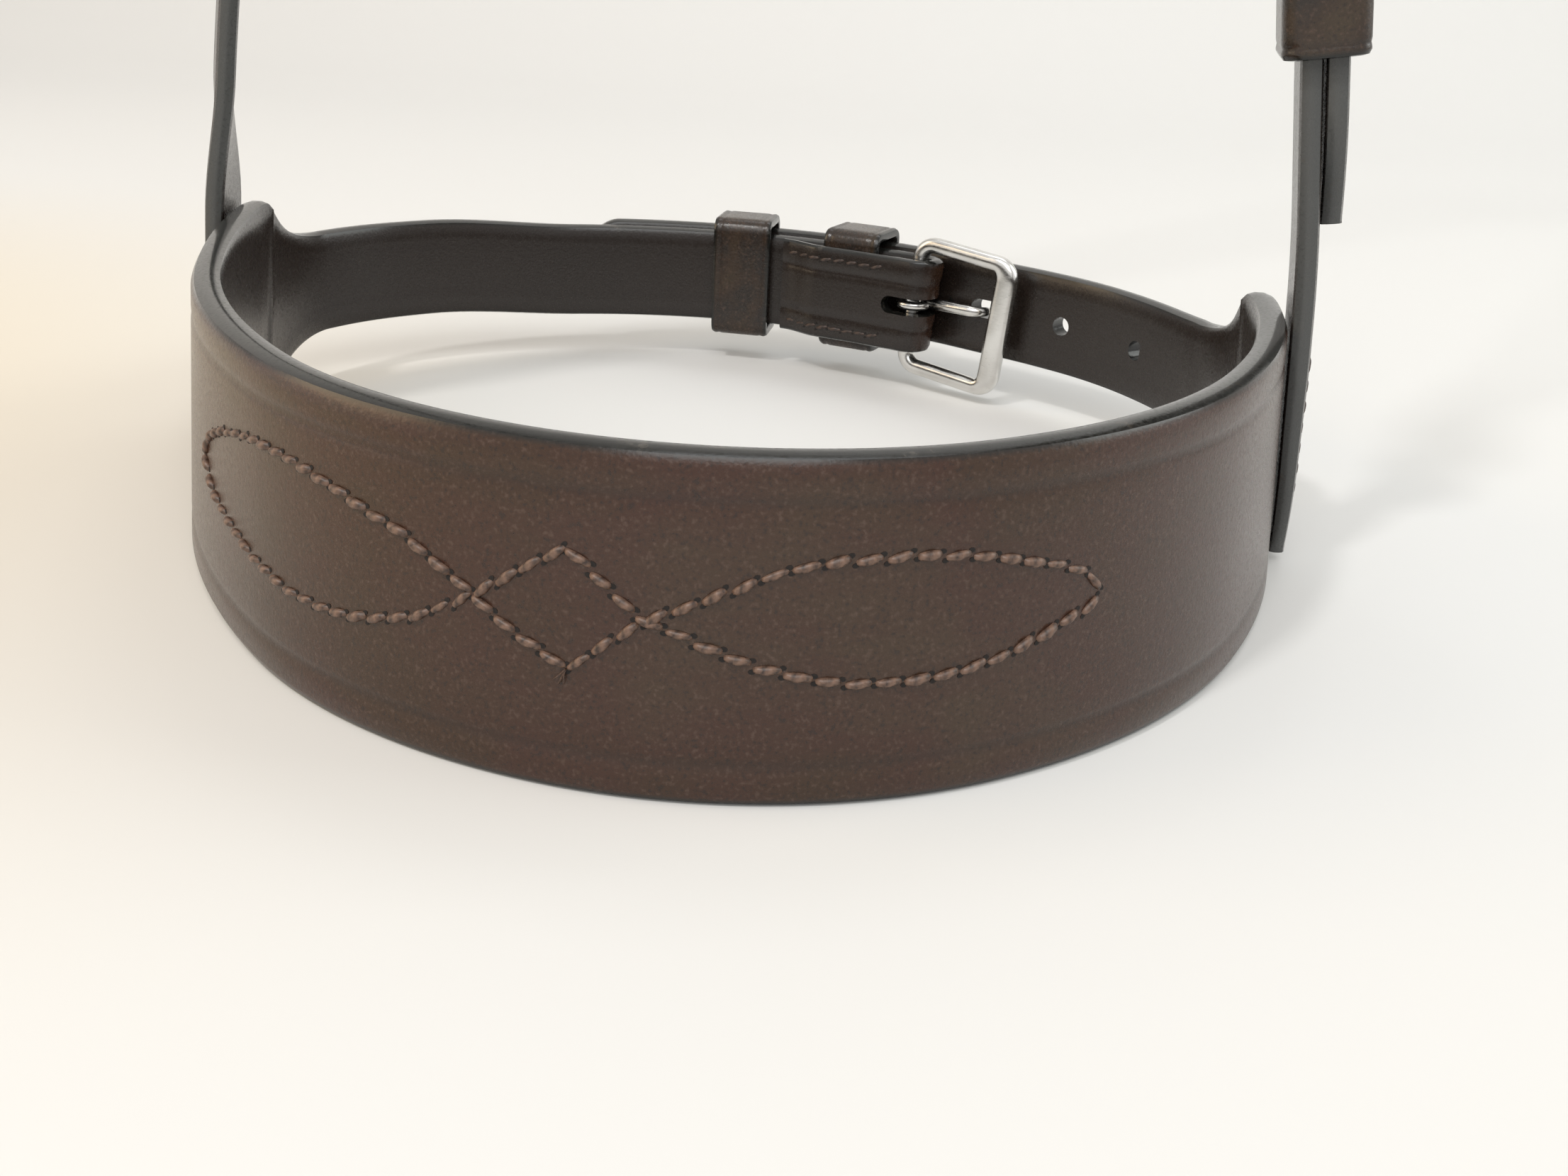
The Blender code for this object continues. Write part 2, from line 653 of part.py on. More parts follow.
def make_tongue(name, seat, prong, material, collection):
    """Tongue: an eye wrapped round the hinge bar and a prong of (forward, outward, radius) points."""
    eye_radius = BAR_SIZE / 2.0 + EYE_GAP + TONGUE_EYE_WIRE_RADIUS
    forward, outward = seat.axes(0.0)
    sense = math.copysign(1.0, forward.cross(seat.width_axis).dot(outward))
    points, radii = [], []
    steps = ROUND_SIDES
    for step in range(steps):
        angle = math.pi / 2.0 + TONGUE_WRAP * (1.0 - step / steps)
        points.append((eye_radius * math.cos(angle), 0.0, sense * eye_radius * math.sin(angle)))
        radii.append(TONGUE_EYE_WIRE_RADIUS)
    for along, out, radius in prong:
        points.append((along, 0.0, sense * (eye_radius + out)))
        radii.append(radius)
    return make_wire(name, points, radii, seat.matrix(0.0, bar_offset()), material, collection)


def curb_prong():
    """Prong that lies beside the billet, then bends out into the hole in use."""
    points = [(0.0, 0.0, TONGUE_EYE_WIRE_RADIUS), (CURB_TONGUE_STRAIGHT * 0.3, 0.0, TONGUE_RADIUS),
              (CURB_TONGUE_STRAIGHT, 0.0, TONGUE_RADIUS)]
    bend_steps = 6
    for step in range(1, bend_steps + 1):
        angle = CURB_TONGUE_BEND * step / bend_steps
        radius = mix(TONGUE_RADIUS, TONGUE_EYE_WIRE_RADIUS, step / bend_steps)
        points.append((CURB_TONGUE_STRAIGHT + CURB_TONGUE_BEND_RADIUS * math.sin(angle),
                       CURB_TONGUE_BEND_RADIUS * (1.0 - math.cos(angle)), radius))
    last_along, last_out, _ = points[-1]
    points.append((last_along + CURB_TONGUE_TIP * math.cos(CURB_TONGUE_BEND),
                   last_out + CURB_TONGUE_TIP * math.sin(CURB_TONGUE_BEND), TONGUE_TIP_RADIUS))
    return points


def near_tongue_slope():
    """Rise of the near tongue for each metre along, from its eye to the front bar's outer face."""
    eye_radius = BAR_SIZE / 2.0 + EYE_GAP + TONGUE_EYE_WIRE_RADIUS
    front_height = NEAR_BUCKLE_REACH * math.sin(NEAR_FRAME_SWING) + BAR_SIZE / 2.0 / math.cos(NEAR_FRAME_SWING)
    rest_height = front_height + TONGUE_REST_GAP + TONGUE_RADIUS
    return (rest_height - eye_radius) / NEAR_BUCKLE_REACH


def near_prong():
    """Straight prong that rests on the outer face of the frame's front bar."""
    slope = near_tongue_slope()
    tip = NEAR_BUCKLE_REACH + FRONT_BAR_WIDTH / 2.0
    rows = ((0.0, TONGUE_EYE_WIRE_RADIUS), (tip * 0.2, TONGUE_RADIUS), (tip * 0.85, TONGUE_RADIUS),
            (tip * 0.96, TONGUE_EYE_WIRE_RADIUS), (tip, TONGUE_TIP_RADIUS))
    return [(along, along * slope, radius) for along, radius in rows]


def make_keeper(name, seat, distance, half_low, half_high, outer_face, main_thickness, material, collection):
    """Leather keeper loop round the main layer and the billet."""
    low = -(main_thickness + KEEPER_GAP)
    high = outer_face + KEEPER_GAP
    inner = rounded_rectangle((low, -half_low - KEEPER_GAP), (high, half_high + KEEPER_GAP),
                              KEEPER_CORNER_RADIUS / 2.0)
    outer = rounded_rectangle((low - KEEPER_WALL, -half_low - KEEPER_GAP - KEEPER_WALL),
                              (high + KEEPER_WALL, half_high + KEEPER_GAP + KEEPER_WALL),
                              KEEPER_CORNER_RADIUS)
    matrix = seat.matrix(distance, 0.0, "outward width forward")
    return make_flat_piece(name, [outer, inner[::-1]], KEEPER_WIDTH, KEEPER_WALL / 4.0, matrix,
                           material, collection)


def make_curb(ring, rear_centre, leather, metal, collection, cutters):
    """Nosepiece with its curb buckle and keepers."""
    up = Vector((0.0, 0.0, 1.0))
    middle = strap_level(CURB_BAR_AT)

    def place(distance, outward):
        plan = ring.beside(CURB_BAR_AT + distance, outward, closed=True)
        return Vector((plan.x, plan.y, middle))

    seat = Seat(place, up, 1.0)
    nosepiece = make_strip("nosepiece", nosepiece_stations(ring, seat), BAND_EDGE, leather, collection)
    cut_tongue_slot(nosepiece, "curb_tongue_slot", seat, cutters)
    for index in range(-HOLES_EACH_SIDE, HOLES_EACH_SIDE + 1):
        distance = index * HOLE_PITCH - CURB_HOLE_IN_USE_AT
        stretch = CURB_HOLE_STRETCH if index == 0 else 0.0
        shift = stretch / 2.0
        depth = CURB_STRAP_THICKNESS + LAYER_GAP
        matrix = seat.matrix(distance - shift, curb_billet_middle(CURB_BAR_AT + distance))
        matrix.translation.z += CURB_BILLET_RAISE * billet_rise(CURB_BAR_AT + distance)
        cut(nosepiece, f"curb_hole_{index + HOLES_EACH_SIDE + 1}", round_hole(HOLE_RADIUS, stretch, depth),
            matrix, cutters)
    frame = make_frame("curb_buckle_frame", seat, CURB_STRAP_WIDTH / 2.0 + CURB_WINDOW_GAP,
                       CURB_BUCKLE_REACH, CURB_FRAME_SWING, CURB_FOLD_SKEW, metal, collection)
    tongue = make_tongue("curb_buckle_tongue", seat, curb_prong(), metal, collection)
    half = CURB_STRAP_WIDTH / 2.0
    billet_face = LAYER_GAP + CURB_STRAP_THICKNESS
    make_keeper("curb_fixed_keeper", seat, FIXED_KEEPER_AT, half, half + CURB_BILLET_RAISE, billet_face,
                CURB_STRAP_THICKNESS, leather, collection)
    runner = make_keeper("curb_runner_keeper", seat, CURB_RUNNER_AT, half, half + CURB_BILLET_RAISE,
                         billet_face, CURB_STRAP_THICKNESS, leather, collection)
    pivot = bpy.data.objects.new("curb_runner_pivot", None)
    pivot.location = (rear_centre.x, rear_centre.y, middle)
    collection.objects.link(pivot)
    bpy.context.view_layer.update()
    runner.parent = pivot
    runner.matrix_parent_inverse = pivot.matrix_world.inverted()
    return {"curb_frame_hinge": frame, "curb_tongue_hinge": tongue, "curb_runner_swing": pivot}


def near_weave(distance):
    """Offset of the sliphead's middle from the hang line near the cheek buckle, past the bar."""
    over = LAYER_GAP + HANGER_THICKNESS / 2.0
    front_bar = bar_offset() + NEAR_BUCKLE_REACH * math.sin(NEAR_FRAME_SWING)
    under = front_bar - BAR_SIZE / 2.0 - NEAR_BILLET_GAP - HANGER_THICKNESS / 2.0
    past_front = NEAR_BUCKLE_REACH + FRONT_BAR_WIDTH / 2.0
    return ramp(((NEAR_WEAVE_START, over), (NEAR_WEAVE_END, under), (past_front, under),
                 (past_front + NEAR_WEAVE_RETURN, -HANGER_THICKNESS / 2.0)), distance)


def make_hangers(ring, leather, metal, collection, cutters):
    """Near cheek strap with its buckle and keepers, and the sliphead."""
    near_base = ring.at(NEAR_HANGER_AT, closed=True)[0]
    off_base, off_heading = ring.at(-OFF_HANGER_AT, closed=True)
    centre = (near_base + off_base) / 2.0
    span = near_base - off_base
    half_span = span.length / 2.0
    side = Vector((span.x, span.y, 0.0)).normalized()
    width_axis = Vector((-side.y, side.x, 0.0))
    hang = make_hang_path(half_span)
    bar_at = CHEEK_LENGTH

    def on_plane(point):
        return Vector((centre.x, centre.y, 0.0)) + point.x * side + Vector((0.0, 0.0, point.y))

    def place(distance, outward):
        return on_plane(hang.beside(bar_at - distance, outward))

    seat = Seat(place, width_axis, -1.0)
    half = HANGER_WIDTH / 2.0
    stations = folded_chape(seat, HANGER_WIDTH, HANGER_THICKNESS, 0.0)
    marks = spaced(THINNED_LENGTH, bar_at - HANGER_FOOT_LENGTH, STATION_STEP)
    marks += spaced(marks[-1], bar_at, FINE_STEP)
    for distance in marks:
        foot_share = min((bar_at - distance) / HANGER_FOOT_LENGTH, 1.0)
        thickness = mix(HANGER_FOOT_THICKNESS, HANGER_THICKNESS, foot_share)
        reach = point_half_width(bar_at - distance, half)
        inner_face = -HANGER_THICKNESS
        stations.append(Station(place(distance, inner_face + thickness / 2.0), width_axis, thickness,
                                -reach, reach, 0.0))
    cheek = make_strip("near_cheek_strap", stations, STRAP_EDGE, leather, collection)
    cut_tongue_slot(cheek, "near_tongue_slot", seat, cutters)

    sliphead = make_strip("sliphead", sliphead_stations(hang, on_plane, width_axis, off_base, off_heading),
                          STRAP_EDGE, leather, collection)
    cut_sliphead_holes(sliphead, seat, cutters)
    frame = make_frame("near_buckle_frame", seat, half + NEAR_WINDOW_GAP, NEAR_BUCKLE_REACH,
                       NEAR_FRAME_SWING, 0.0, metal, collection)
    tongue = make_tongue("near_buckle_tongue", seat, near_prong(), metal, collection)
    billet_face = LAYER_GAP + HANGER_THICKNESS
    make_keeper("near_fixed_keeper", seat, FIXED_KEEPER_AT, half, half, billet_face, HANGER_THICKNESS,
                leather, collection)
    runner = make_keeper("near_runner_keeper", seat, NEAR_RUNNER_AT, half, half, billet_face,
                         HANGER_THICKNESS, leather, collection)
    return {"near_frame_hinge": frame, "near_tongue_hinge": tongue, "near_runner_slide": runner}, seat


def sliphead_stations(hang, on_plane, width_axis, off_base, off_heading):
    """Sections of the sliphead, from its point on the near side to its foot on the off side."""
    half = HANGER_WIDTH / 2.0
    tip_at = CHEEK_LENGTH - BILLET_PAST_BAR
    weave_end = CHEEK_LENGTH + NEAR_BUCKLE_REACH + FRONT_BAR_WIDTH / 2.0 + NEAR_WEAVE_RETURN
    foot_from = hang.length - HANGER_FOOT_LENGTH
    marks = [tip_at] + spaced(tip_at, tip_at + BILLET_POINT_LENGTH, FINE_STEP)
    marks += spaced(marks[-1], CHEEK_LENGTH, STATION_STEP)
    marks += spaced(CHEEK_LENGTH, weave_end, FINE_STEP)
    untwist_to = hang.length - OFF_UNTWIST_FROM
    untwist_from = untwist_to - OFF_UNTWIST_LENGTH
    marks += path_marks(hang, weave_end, untwist_from)
    marks += spaced(marks[-1], foot_from, STATION_STEP)
    marks += spaced(marks[-1], hang.length, FINE_STEP)
    wall_angle = off_heading + math.pi
    common_angle = math.atan2(width_axis.y, width_axis.x)
    edge_angle = wall_angle + OFF_EDGE_TURN
    wall_top = hang.length - (BAND_WIDTH - HANGER_FOOT_HEIGHT)
    turns = ((untwist_from, common_angle), (untwist_to, edge_angle),
             (wall_top - OFF_EDGE_TURN_LENGTH, edge_angle), (wall_top, wall_angle))
    wall_outward = Vector((math.sin(off_heading), -math.cos(off_heading), 0.0))
    wall_point = Vector((off_base.x, off_base.y, 0.0))
    stations = []
    for mark in marks:
        point_share = min(max(mark - tip_at, hang.length - mark), BILLET_POINT_LENGTH)
        from_end = min(mark - tip_at, hang.length - mark)
        reach = point_half_width(min(from_end, point_share), half)
        foot_share = min((hang.length - mark) / HANGER_FOOT_LENGTH, 1.0)
        thickness = mix(HANGER_FOOT_THICKNESS, HANGER_THICKNESS, foot_share)
        offset = near_weave(mark - CHEEK_LENGTH) if mark < weave_end else thickness / 2.0 - HANGER_THICKNESS
        centre = on_plane(hang.beside(mark, offset))
        settle = smooth_step((mark - wall_top + OFF_SETTLE_LENGTH) / OFF_SETTLE_LENGTH)
        angle = ramp(turns, mark)
        axis = Vector((math.cos(angle), math.sin(angle), 0.0))
        on_wall = wall_point + wall_outward * (LAYER_GAP + thickness / 2.0 - BAND_LEAN_SHARE * centre.z)
        on_wall.z = centre.z
        stations.append(Station(mix(centre, on_wall, settle), axis, thickness, -reach, reach, 0.0))
    return stations


def cut_sliphead_holes(sliphead, seat, cutters):
    """Punch the sliphead's holes, with the one in use drawn long by the tongue."""
    eye_radius = BAR_SIZE / 2.0 + EYE_GAP + TONGUE_EYE_WIRE_RADIUS
    slope = near_tongue_slope()
    crossing = NEAR_WEAVE_START
    while near_weave(crossing) > bar_offset() + eye_radius + slope * crossing:
        crossing += FINE_STEP / 20.0
    forward, outward = seat.axes(0.0)
    sense = math.copysign(1.0, forward.cross(seat.width_axis).dot(outward))
    matrix = seat.matrix(0.0, bar_offset() + eye_radius + slope * crossing)
    matrix = matrix @ Matrix.Translation((crossing, 0.0, 0.0))
    matrix = matrix @ Matrix.Rotation(math.pi / 2.0 - sense * math.atan(slope), 4, "Y")

    def used_hole(mesh_builder):
        depth = 4.0 * HANGER_THICKNESS
        bmesh.ops.create_cone(mesh_builder, cap_ends=True, segments=ROUND_SIDES, radius1=1.0, radius2=1.0,
                              depth=depth)
        bmesh.ops.scale(mesh_builder, vec=(NEAR_HOLE_HALF_LENGTH, NEAR_HOLE_HALF_WIDTH, 1.0),
                        verts=mesh_builder.verts)

    cut(sliphead, "sliphead_hole_in_use", used_hole, matrix, cutters)
    depth = HANGER_THICKNESS + LAYER_GAP
    for index in range(1, HOLES_EACH_SIDE + 1):
        below = seat.matrix(index * HOLE_PITCH - crossing, LAYER_GAP + HANGER_THICKNESS / 2.0)
        cut(sliphead, f"sliphead_hole_below_{index}", round_hole(HOLE_RADIUS, 0.0, depth), below, cutters)
        above_at = crossing + index * HOLE_PITCH
        above = seat.matrix(-above_at, near_weave(above_at))
        cut(sliphead, f"sliphead_hole_above_{index}", round_hole(HOLE_RADIUS, 0.0, 2.0 * depth), above, cutters)


def stand_on_origin(collection):
    """Move the whole object so that the middle of its base is the origin."""
    bpy.context.view_layer.update()
    graph = bpy.context.evaluated_depsgraph_get()
    corners = []
    for piece in collection.objects:
        if piece.type == "MESH":
            evaluated = piece.evaluated_get(graph)
            corners += [piece.matrix_world @ vertex.co for vertex in evaluated.data.vertices]
    low = [min(corner[axis] for corner in corners) for axis in range(3)]
    high = [max(corner[axis] for corner in corners) for axis in range(3)]
    shift = Vector((-(low[0] + high[0]) / 2.0, -(low[1] + high[1]) / 2.0, -low[2]))
    cutters = bpy.data.collections[CUTTER_COLLECTION_NAME]
    for piece in list(collection.objects) + list(cutters.objects):
        if piece.parent is None:
            piece.matrix_world = Matrix.Translation(shift) @ piece.matrix_world
    bpy.context.view_layer.update()
    return shift


def main():
    """Build every piece and report the joints' places."""
    for old in list(bpy.data.objects):
        bpy.data.objects.remove(old)
    collection = bpy.data.collections.new(COLLECTION_NAME)
    cutters = bpy.data.collections.new(CUTTER_COLLECTION_NAME)
    bpy.context.scene.collection.children.link(collection)
    bpy.context.scene.collection.children.link(cutters)
    leather = make_material("dark_havana_bridle_leather", (0.028, 0.014, 0.010), 0.42, 0.0)
    metal = make_material("nickel_plated_brass", (0.72, 0.72, 0.70), 0.18, 1.0)
    ring, rear_centre, rear_start = make_ring_path()
    joints = make_curb(ring, rear_centre, leather, metal, collection, cutters)
    hanger_joints, seat = make_hangers(ring, leather, metal, collection, cutters)
    joints.update(hanger_joints)
    shift = stand_on_origin(collection)
    print("ring girth", round(ring.length, 5), "rear arc from", round(rear_start, 5), "shift", shift)
    for name, piece in joints.items():
        print(name, [round(value, 6) for value in piece.matrix_world.translation])
    forward, outward = seat.axes(0.0)
    print("near seat width", seat.width_axis, "forward", forward, "outward", outward)
    print("curb bar axis", joints["curb_frame_hinge"].matrix_world.to_3x3().col[1])


main()
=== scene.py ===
"""Looks of a hunter noseband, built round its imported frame.

The noseband is made as a saddler makes it: straps are cut flat, pressed, sewn and
then bent. Each strap here is a flat strip with its own distances along and across
it, and one function bends it along the ring or over the poll. Lengths are metres.
"""
import functools
import json
import logging
import math
from collections.abc import Callable
from dataclasses import dataclass, field
from enum import Enum

import bpy
import numpy as np
from mathutils import Matrix, Vector

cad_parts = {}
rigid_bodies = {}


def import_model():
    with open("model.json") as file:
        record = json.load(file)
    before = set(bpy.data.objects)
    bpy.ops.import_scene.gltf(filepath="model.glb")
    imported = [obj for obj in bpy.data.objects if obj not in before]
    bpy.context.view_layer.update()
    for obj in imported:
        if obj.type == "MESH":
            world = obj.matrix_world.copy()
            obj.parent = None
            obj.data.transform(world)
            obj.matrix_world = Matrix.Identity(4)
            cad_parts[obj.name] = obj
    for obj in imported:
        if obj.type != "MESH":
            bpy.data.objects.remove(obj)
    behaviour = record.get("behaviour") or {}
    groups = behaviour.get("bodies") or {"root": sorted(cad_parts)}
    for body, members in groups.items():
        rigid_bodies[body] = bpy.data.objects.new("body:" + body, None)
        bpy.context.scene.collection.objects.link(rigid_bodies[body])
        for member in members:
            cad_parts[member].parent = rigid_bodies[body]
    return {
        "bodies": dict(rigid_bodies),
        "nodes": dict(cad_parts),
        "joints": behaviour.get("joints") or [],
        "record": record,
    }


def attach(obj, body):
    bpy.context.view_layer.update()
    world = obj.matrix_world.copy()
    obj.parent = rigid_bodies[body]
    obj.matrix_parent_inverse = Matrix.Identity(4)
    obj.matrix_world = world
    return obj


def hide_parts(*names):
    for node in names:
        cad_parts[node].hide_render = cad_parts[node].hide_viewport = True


LOG = logging.getLogger("noseband")
MM = 0.001


# ---------------------------------------------------------------- small sums


def smooth_step(value: float) -> float:
    """Ease from 0 to 1."""
    value = min(max(value, 0.0), 1.0)
    return value * value * (3.0 - 2.0 * value)


def mix(first, second, share: float):
    """Blend two numbers or two vectors."""
    return first + (second - first) * share


def ramp(table: tuple, distance: float) -> float:
    """Read a value from rows of distance and value, with eased steps.

    Args:
        table: rows of (distance, value), in rising order of distance.
        distance: where to read.

    Returns:
        The eased value.
    """
    if distance <= table[0][0]:
        return table[0][1]
    for (start, first), (end, second) in zip(table, table[1:]):
        if distance <= end:
            return mix(first, second, smooth_step((distance - start) / (end - start)))
    return table[-1][1]


def spaced(start: float, end: float, step: float) -> list[float]:
    """Evenly spaced values from start to end, without the start."""
    count = max(1, round(abs(end - start) / step))
    return [mix(start, end, index / count) for index in range(1, count + 1)]


def linear(code: str) -> tuple[float, float, float, float]:
    """Turn an sRGB hex colour into linear red, green, blue and alpha."""
    parts = [int(code[index:index + 2], 16) / 255.0 for index in (1, 3, 5)]
    parts = [part / 12.92 if part <= 0.04045 else ((part + 0.055) / 1.055) ** 2.4 for part in parts]
    return (*parts, 1.0)


# ---------------------------------------------------------------- bend lines


@dataclass
class Arc:
    """One arc of a bend line."""

    start: float
    origin: Vector
    heading: float
    bend: float


def arc_end(origin: Vector, heading: float, bend: float, length: float) -> tuple[Vector, float]:
    """Point and heading after a signed length along an arc."""
    if abs(bend * length) < 1e-9:
        return origin + length * Vector((math.cos(heading), math.sin(heading))), heading
    turned = heading + bend * length
    step = Vector((math.sin(turned) - math.sin(heading), math.cos(heading) - math.cos(turned)))
    return origin + step / bend, turned


@dataclass
class BendLine:
    """A plane line of tangent arcs that a strap is bent along."""

    arcs: list[Arc] = field(default_factory=list)
    length: float = 0.0

    def add(self, origin: Vector, heading: float, bend: float,
            length: float) -> tuple[Vector, float]:
        """Append an arc and return where it ends."""
        self.arcs.append(Arc(self.length, origin.copy(), heading, bend))
        self.length += length
        return arc_end(origin, heading, bend, length)

    def at(self, distance: float, closed: bool = False) -> tuple[Vector, float]:
        """Point and heading at a distance along the line."""
        if closed:
            distance %= self.length
        chosen = self.arcs[0]
        for arc in self.arcs:
            if distance >= arc.start:
                chosen = arc
        return arc_end(chosen.origin, chosen.heading, chosen.bend, distance - chosen.start)

    def beside(self, distance: float, outward: float, closed: bool = False) -> Vector:
        """Point at a distance along the line and an offset to its outer side."""
        point, heading = self.at(distance, closed)
        return point + outward * Vector((math.sin(heading), -math.cos(heading)))


# ---------------------------------------------------------------- sizes


@dataclass(frozen=True)
class LeatherSizes:
    """Widths and thicknesses of the cut leather."""

    band_width: float = 38.1 * MM
    band_thickness: float = 4.2 * MM
    band_half_length: float = 158.0 * MM
    shoulder_length: float = 25.0 * MM
    shoulder_softness: float = 1.2 * MM
    arm_width: float = 18.8 * MM
    arm_thickness: float = 3.8 * MM
    hanger_width: float = 15.9 * MM
    hanger_thickness: float = 3.0 * MM
    hanger_foot_thickness: float = 2.2 * MM
    fold_thickness: float = 2.8 * MM
    turn_back_thickness: float = 2.4 * MM
    skived_thickness: float = 1.6 * MM
    turn_back_length: float = 31.0 * MM
    thinned_length: float = 12.0 * MM
    point_length: float = 16.0 * MM
    point_half_width: float = 1.2 * MM
    point_power: float = 1.8
    arm_point_length: float = 8.0 * MM
    arm_point_half_width: float = 3.5 * MM
    billet_past_bar: float = 75.5 * MM
    lean_share: float = 0.092
    ridge_height: float = 0.35 * MM
    ridge_spread: float = 0.8 * MM


@dataclass(frozen=True)
class RingPlan:
    """Plan of the ring's outer face: arcs (radius, length) either way from the front."""

    heading: float = math.radians(-11.96)
    near_arcs: tuple = ((67.3, 50.0), (88.4, 50.0), (140.3, 50.0), (64.3, 35.0), (68.9, 35.0))
    off_arcs: tuple = ((76.1, 50.0), (139.9, 50.0), (275.2, 50.0), (49.8, 50.0))


@dataclass(frozen=True)
class Gaps:
    """Air between pieces that touch on the real one."""

    layer: float = 0.35 * MM
    keeper: float = 0.6 * MM
    bar: float = 0.4 * MM
    eye: float = 0.3 * MM
    near_billet: float = 1.0 * MM


@dataclass(frozen=True)
class BuckleSizes:
    """Sizes of one buckle."""

    half_window: float
    reach: float
    bar: float = 3.0 * MM
    front_width: float = 4.5 * MM
    corner: float = 4.5 * MM
    tongue_radius: float = 1.15 * MM
    eye_wire: float = 0.9 * MM
    tip_radius: float = 0.6 * MM
    wrap: float = math.radians(270.0)


@dataclass(frozen=True)
class KeeperSizes:
    """Sizes of a leather keeper loop."""

    width: float = 12.0 * MM
    wall: float = 1.9 * MM
    corner: float = 1.6 * MM
    fixed_at: float = 15.5 * MM


@dataclass(frozen=True)
class CurbPlaces:
    """Places along the ring at the rear fastening."""

    bar_at: float = 251.4 * MM
    runner_at: float = 40.5 * MM
    slot_behind: float = 4.7 * MM
    slot_past_fold: float = 2.0 * MM
    slot_half_width: float = 1.75 * MM
    fold_skew: float = math.radians(5.5)
    billet_raise: float = 0.6 * MM
    rise_length: float = 56.0 * MM
    hole_at: float = 12.5 * MM
    hole_stretch: float = 2.4 * MM
    tongue_straight: float = 11.2 * MM
    tongue_bend_radius: float = 2.8 * MM
    tongue_bend: float = math.radians(75.0)
    tongue_tip: float = 1.8 * MM
    levels: tuple = ((158.0 * MM, 0.0), (192.0 * MM, -1.6 * MM),
                     (328.0 * MM, -1.6 * MM), (360.0 * MM, 0.0))
    hole_pitch: float = 19.0 * MM
    hole_radius: float = 1.8 * MM


@dataclass(frozen=True)
class HangerPlaces:
    """Places of the near cheek strap and of the sliphead."""

    near_at: float = 141.0 * MM
    off_at: float = 150.0 * MM
    foot_height: float = 1.8 * MM
    foot_length: float = 30.0 * MM
    bend_radius: float = 250.0 * MM
    lean: float = math.radians(9.0)
    rise: float = 330.0 * MM
    off_settle: float = 45.0 * MM
    off_edge_turn: float = math.radians(14.0)
    off_edge_turn_length: float = 22.0 * MM
    off_untwist_from: float = 95.0 * MM
    off_untwist_length: float = 190.0 * MM
    cheek_length: float = 125.0 * MM
    runner_at: float = 46.8 * MM
    frame_swing: float = math.radians(8.0)
    weave_start: float = 3.0 * MM
    weave_end: float = 15.2 * MM
    weave_return: float = 30.0 * MM
    hole_half_width: float = 1.7 * MM
    hole_half_length: float = 2.6 * MM
    tongue_rest: float = 0.3 * MM


@dataclass(frozen=True)
class Spacing:
    """Distances between a strap's cross-sections."""

    fold: float = 0.8 * MM
    shoulder: float = 0.8 * MM
    shoulder_overlap: float = 8.0 * MM
    band: float = 1.6 * MM
    arm: float = 2.2 * MM
    weave: float = 1.6 * MM
    hanger: float = 2.4 * MM
    point: float = 0.7 * MM


LEATHER = LeatherSizes()
PLAN = RingPlan()
GAPS = Gaps()
KEEPER = KeeperSizes()
CURB = CurbPlaces()
HANG = HangerPlaces()
SPACING = Spacing()
CURB_BUCKLE = BuckleSizes(half_window=LEATHER.arm_width / 2.0 + 1.6 * MM, reach=19.4 * MM)
NEAR_BUCKLE = BuckleSizes(half_window=LEATHER.hanger_width / 2.0 + 1.1 * MM, reach=17.5 * MM)


# ---------------------------------------------------------------- strap lay


@dataclass
class Station:
    """One cross-section of a strap: its place, its width axis and its half widths."""

    centre: Vector
    width_axis: Vector
    thickness: float
    half_width: float
    distance: float
    lean: float = 0.0
    ridge: float = 0.0


@dataclass
class Seat:
    """Axes at a hinge bar: past the bar, outward, and across the strap."""

    place: Callable[[float, float], Vector]
    width_axis: Vector

    def axes(self, distance: float) -> tuple[Vector, Vector]:
        """Way to the buckle's front and outward way at a distance past the bar."""
        probe = 1.0 * MM
        here = self.place(distance, 0.0)
        outward = (self.place(distance, probe) - here).normalized()
        forward = self.place(distance - probe, 0.0) - self.place(distance + probe, 0.0)
        return forward.normalized(), outward

    def matrix(self, distance: float, offset: float) -> Matrix:
        """Placement with forward, width and their cross product as its axes."""
        forward, _ = self.axes(distance)
        third = forward.cross(self.width_axis)
        frame = Matrix((forward, self.width_axis, third)).transposed().to_4x4()
        frame.translation = self.place(distance, offset)
        return frame

    def sense(self) -> float:
        """1 where the third axis points outward, and -1 where it points inward."""
        forward, outward = self.axes(0.0)
        return math.copysign(1.0, forward.cross(self.width_axis).dot(outward))

    def skewed_axis(self, skew: float) -> Vector:
        """Width axis of a fold line with its upper end towards the front bar."""
        forward, _ = self.axes(0.0)
        return (math.cos(skew) * self.width_axis + math.sin(skew) * forward).normalized()


def bar_offset(buckle: BuckleSizes) -> float:
    """Offset of a hinge bar's centre from the outer face of its chape."""
    return -(LEATHER.fold_thickness + GAPS.bar + buckle.bar / 2.0)


def point_half_width(to_tip: float, half_width: float, length: float = LEATHER.point_length,
                     start: float = LEATHER.point_half_width) -> float:
    """Half width of a strap near its point, which is cut from a start width over a length."""
    share = min(max(to_tip, 0.0) / length, 1.0)
    return mix(start, half_width, 1.0 - (1.0 - share) ** LEATHER.point_power)


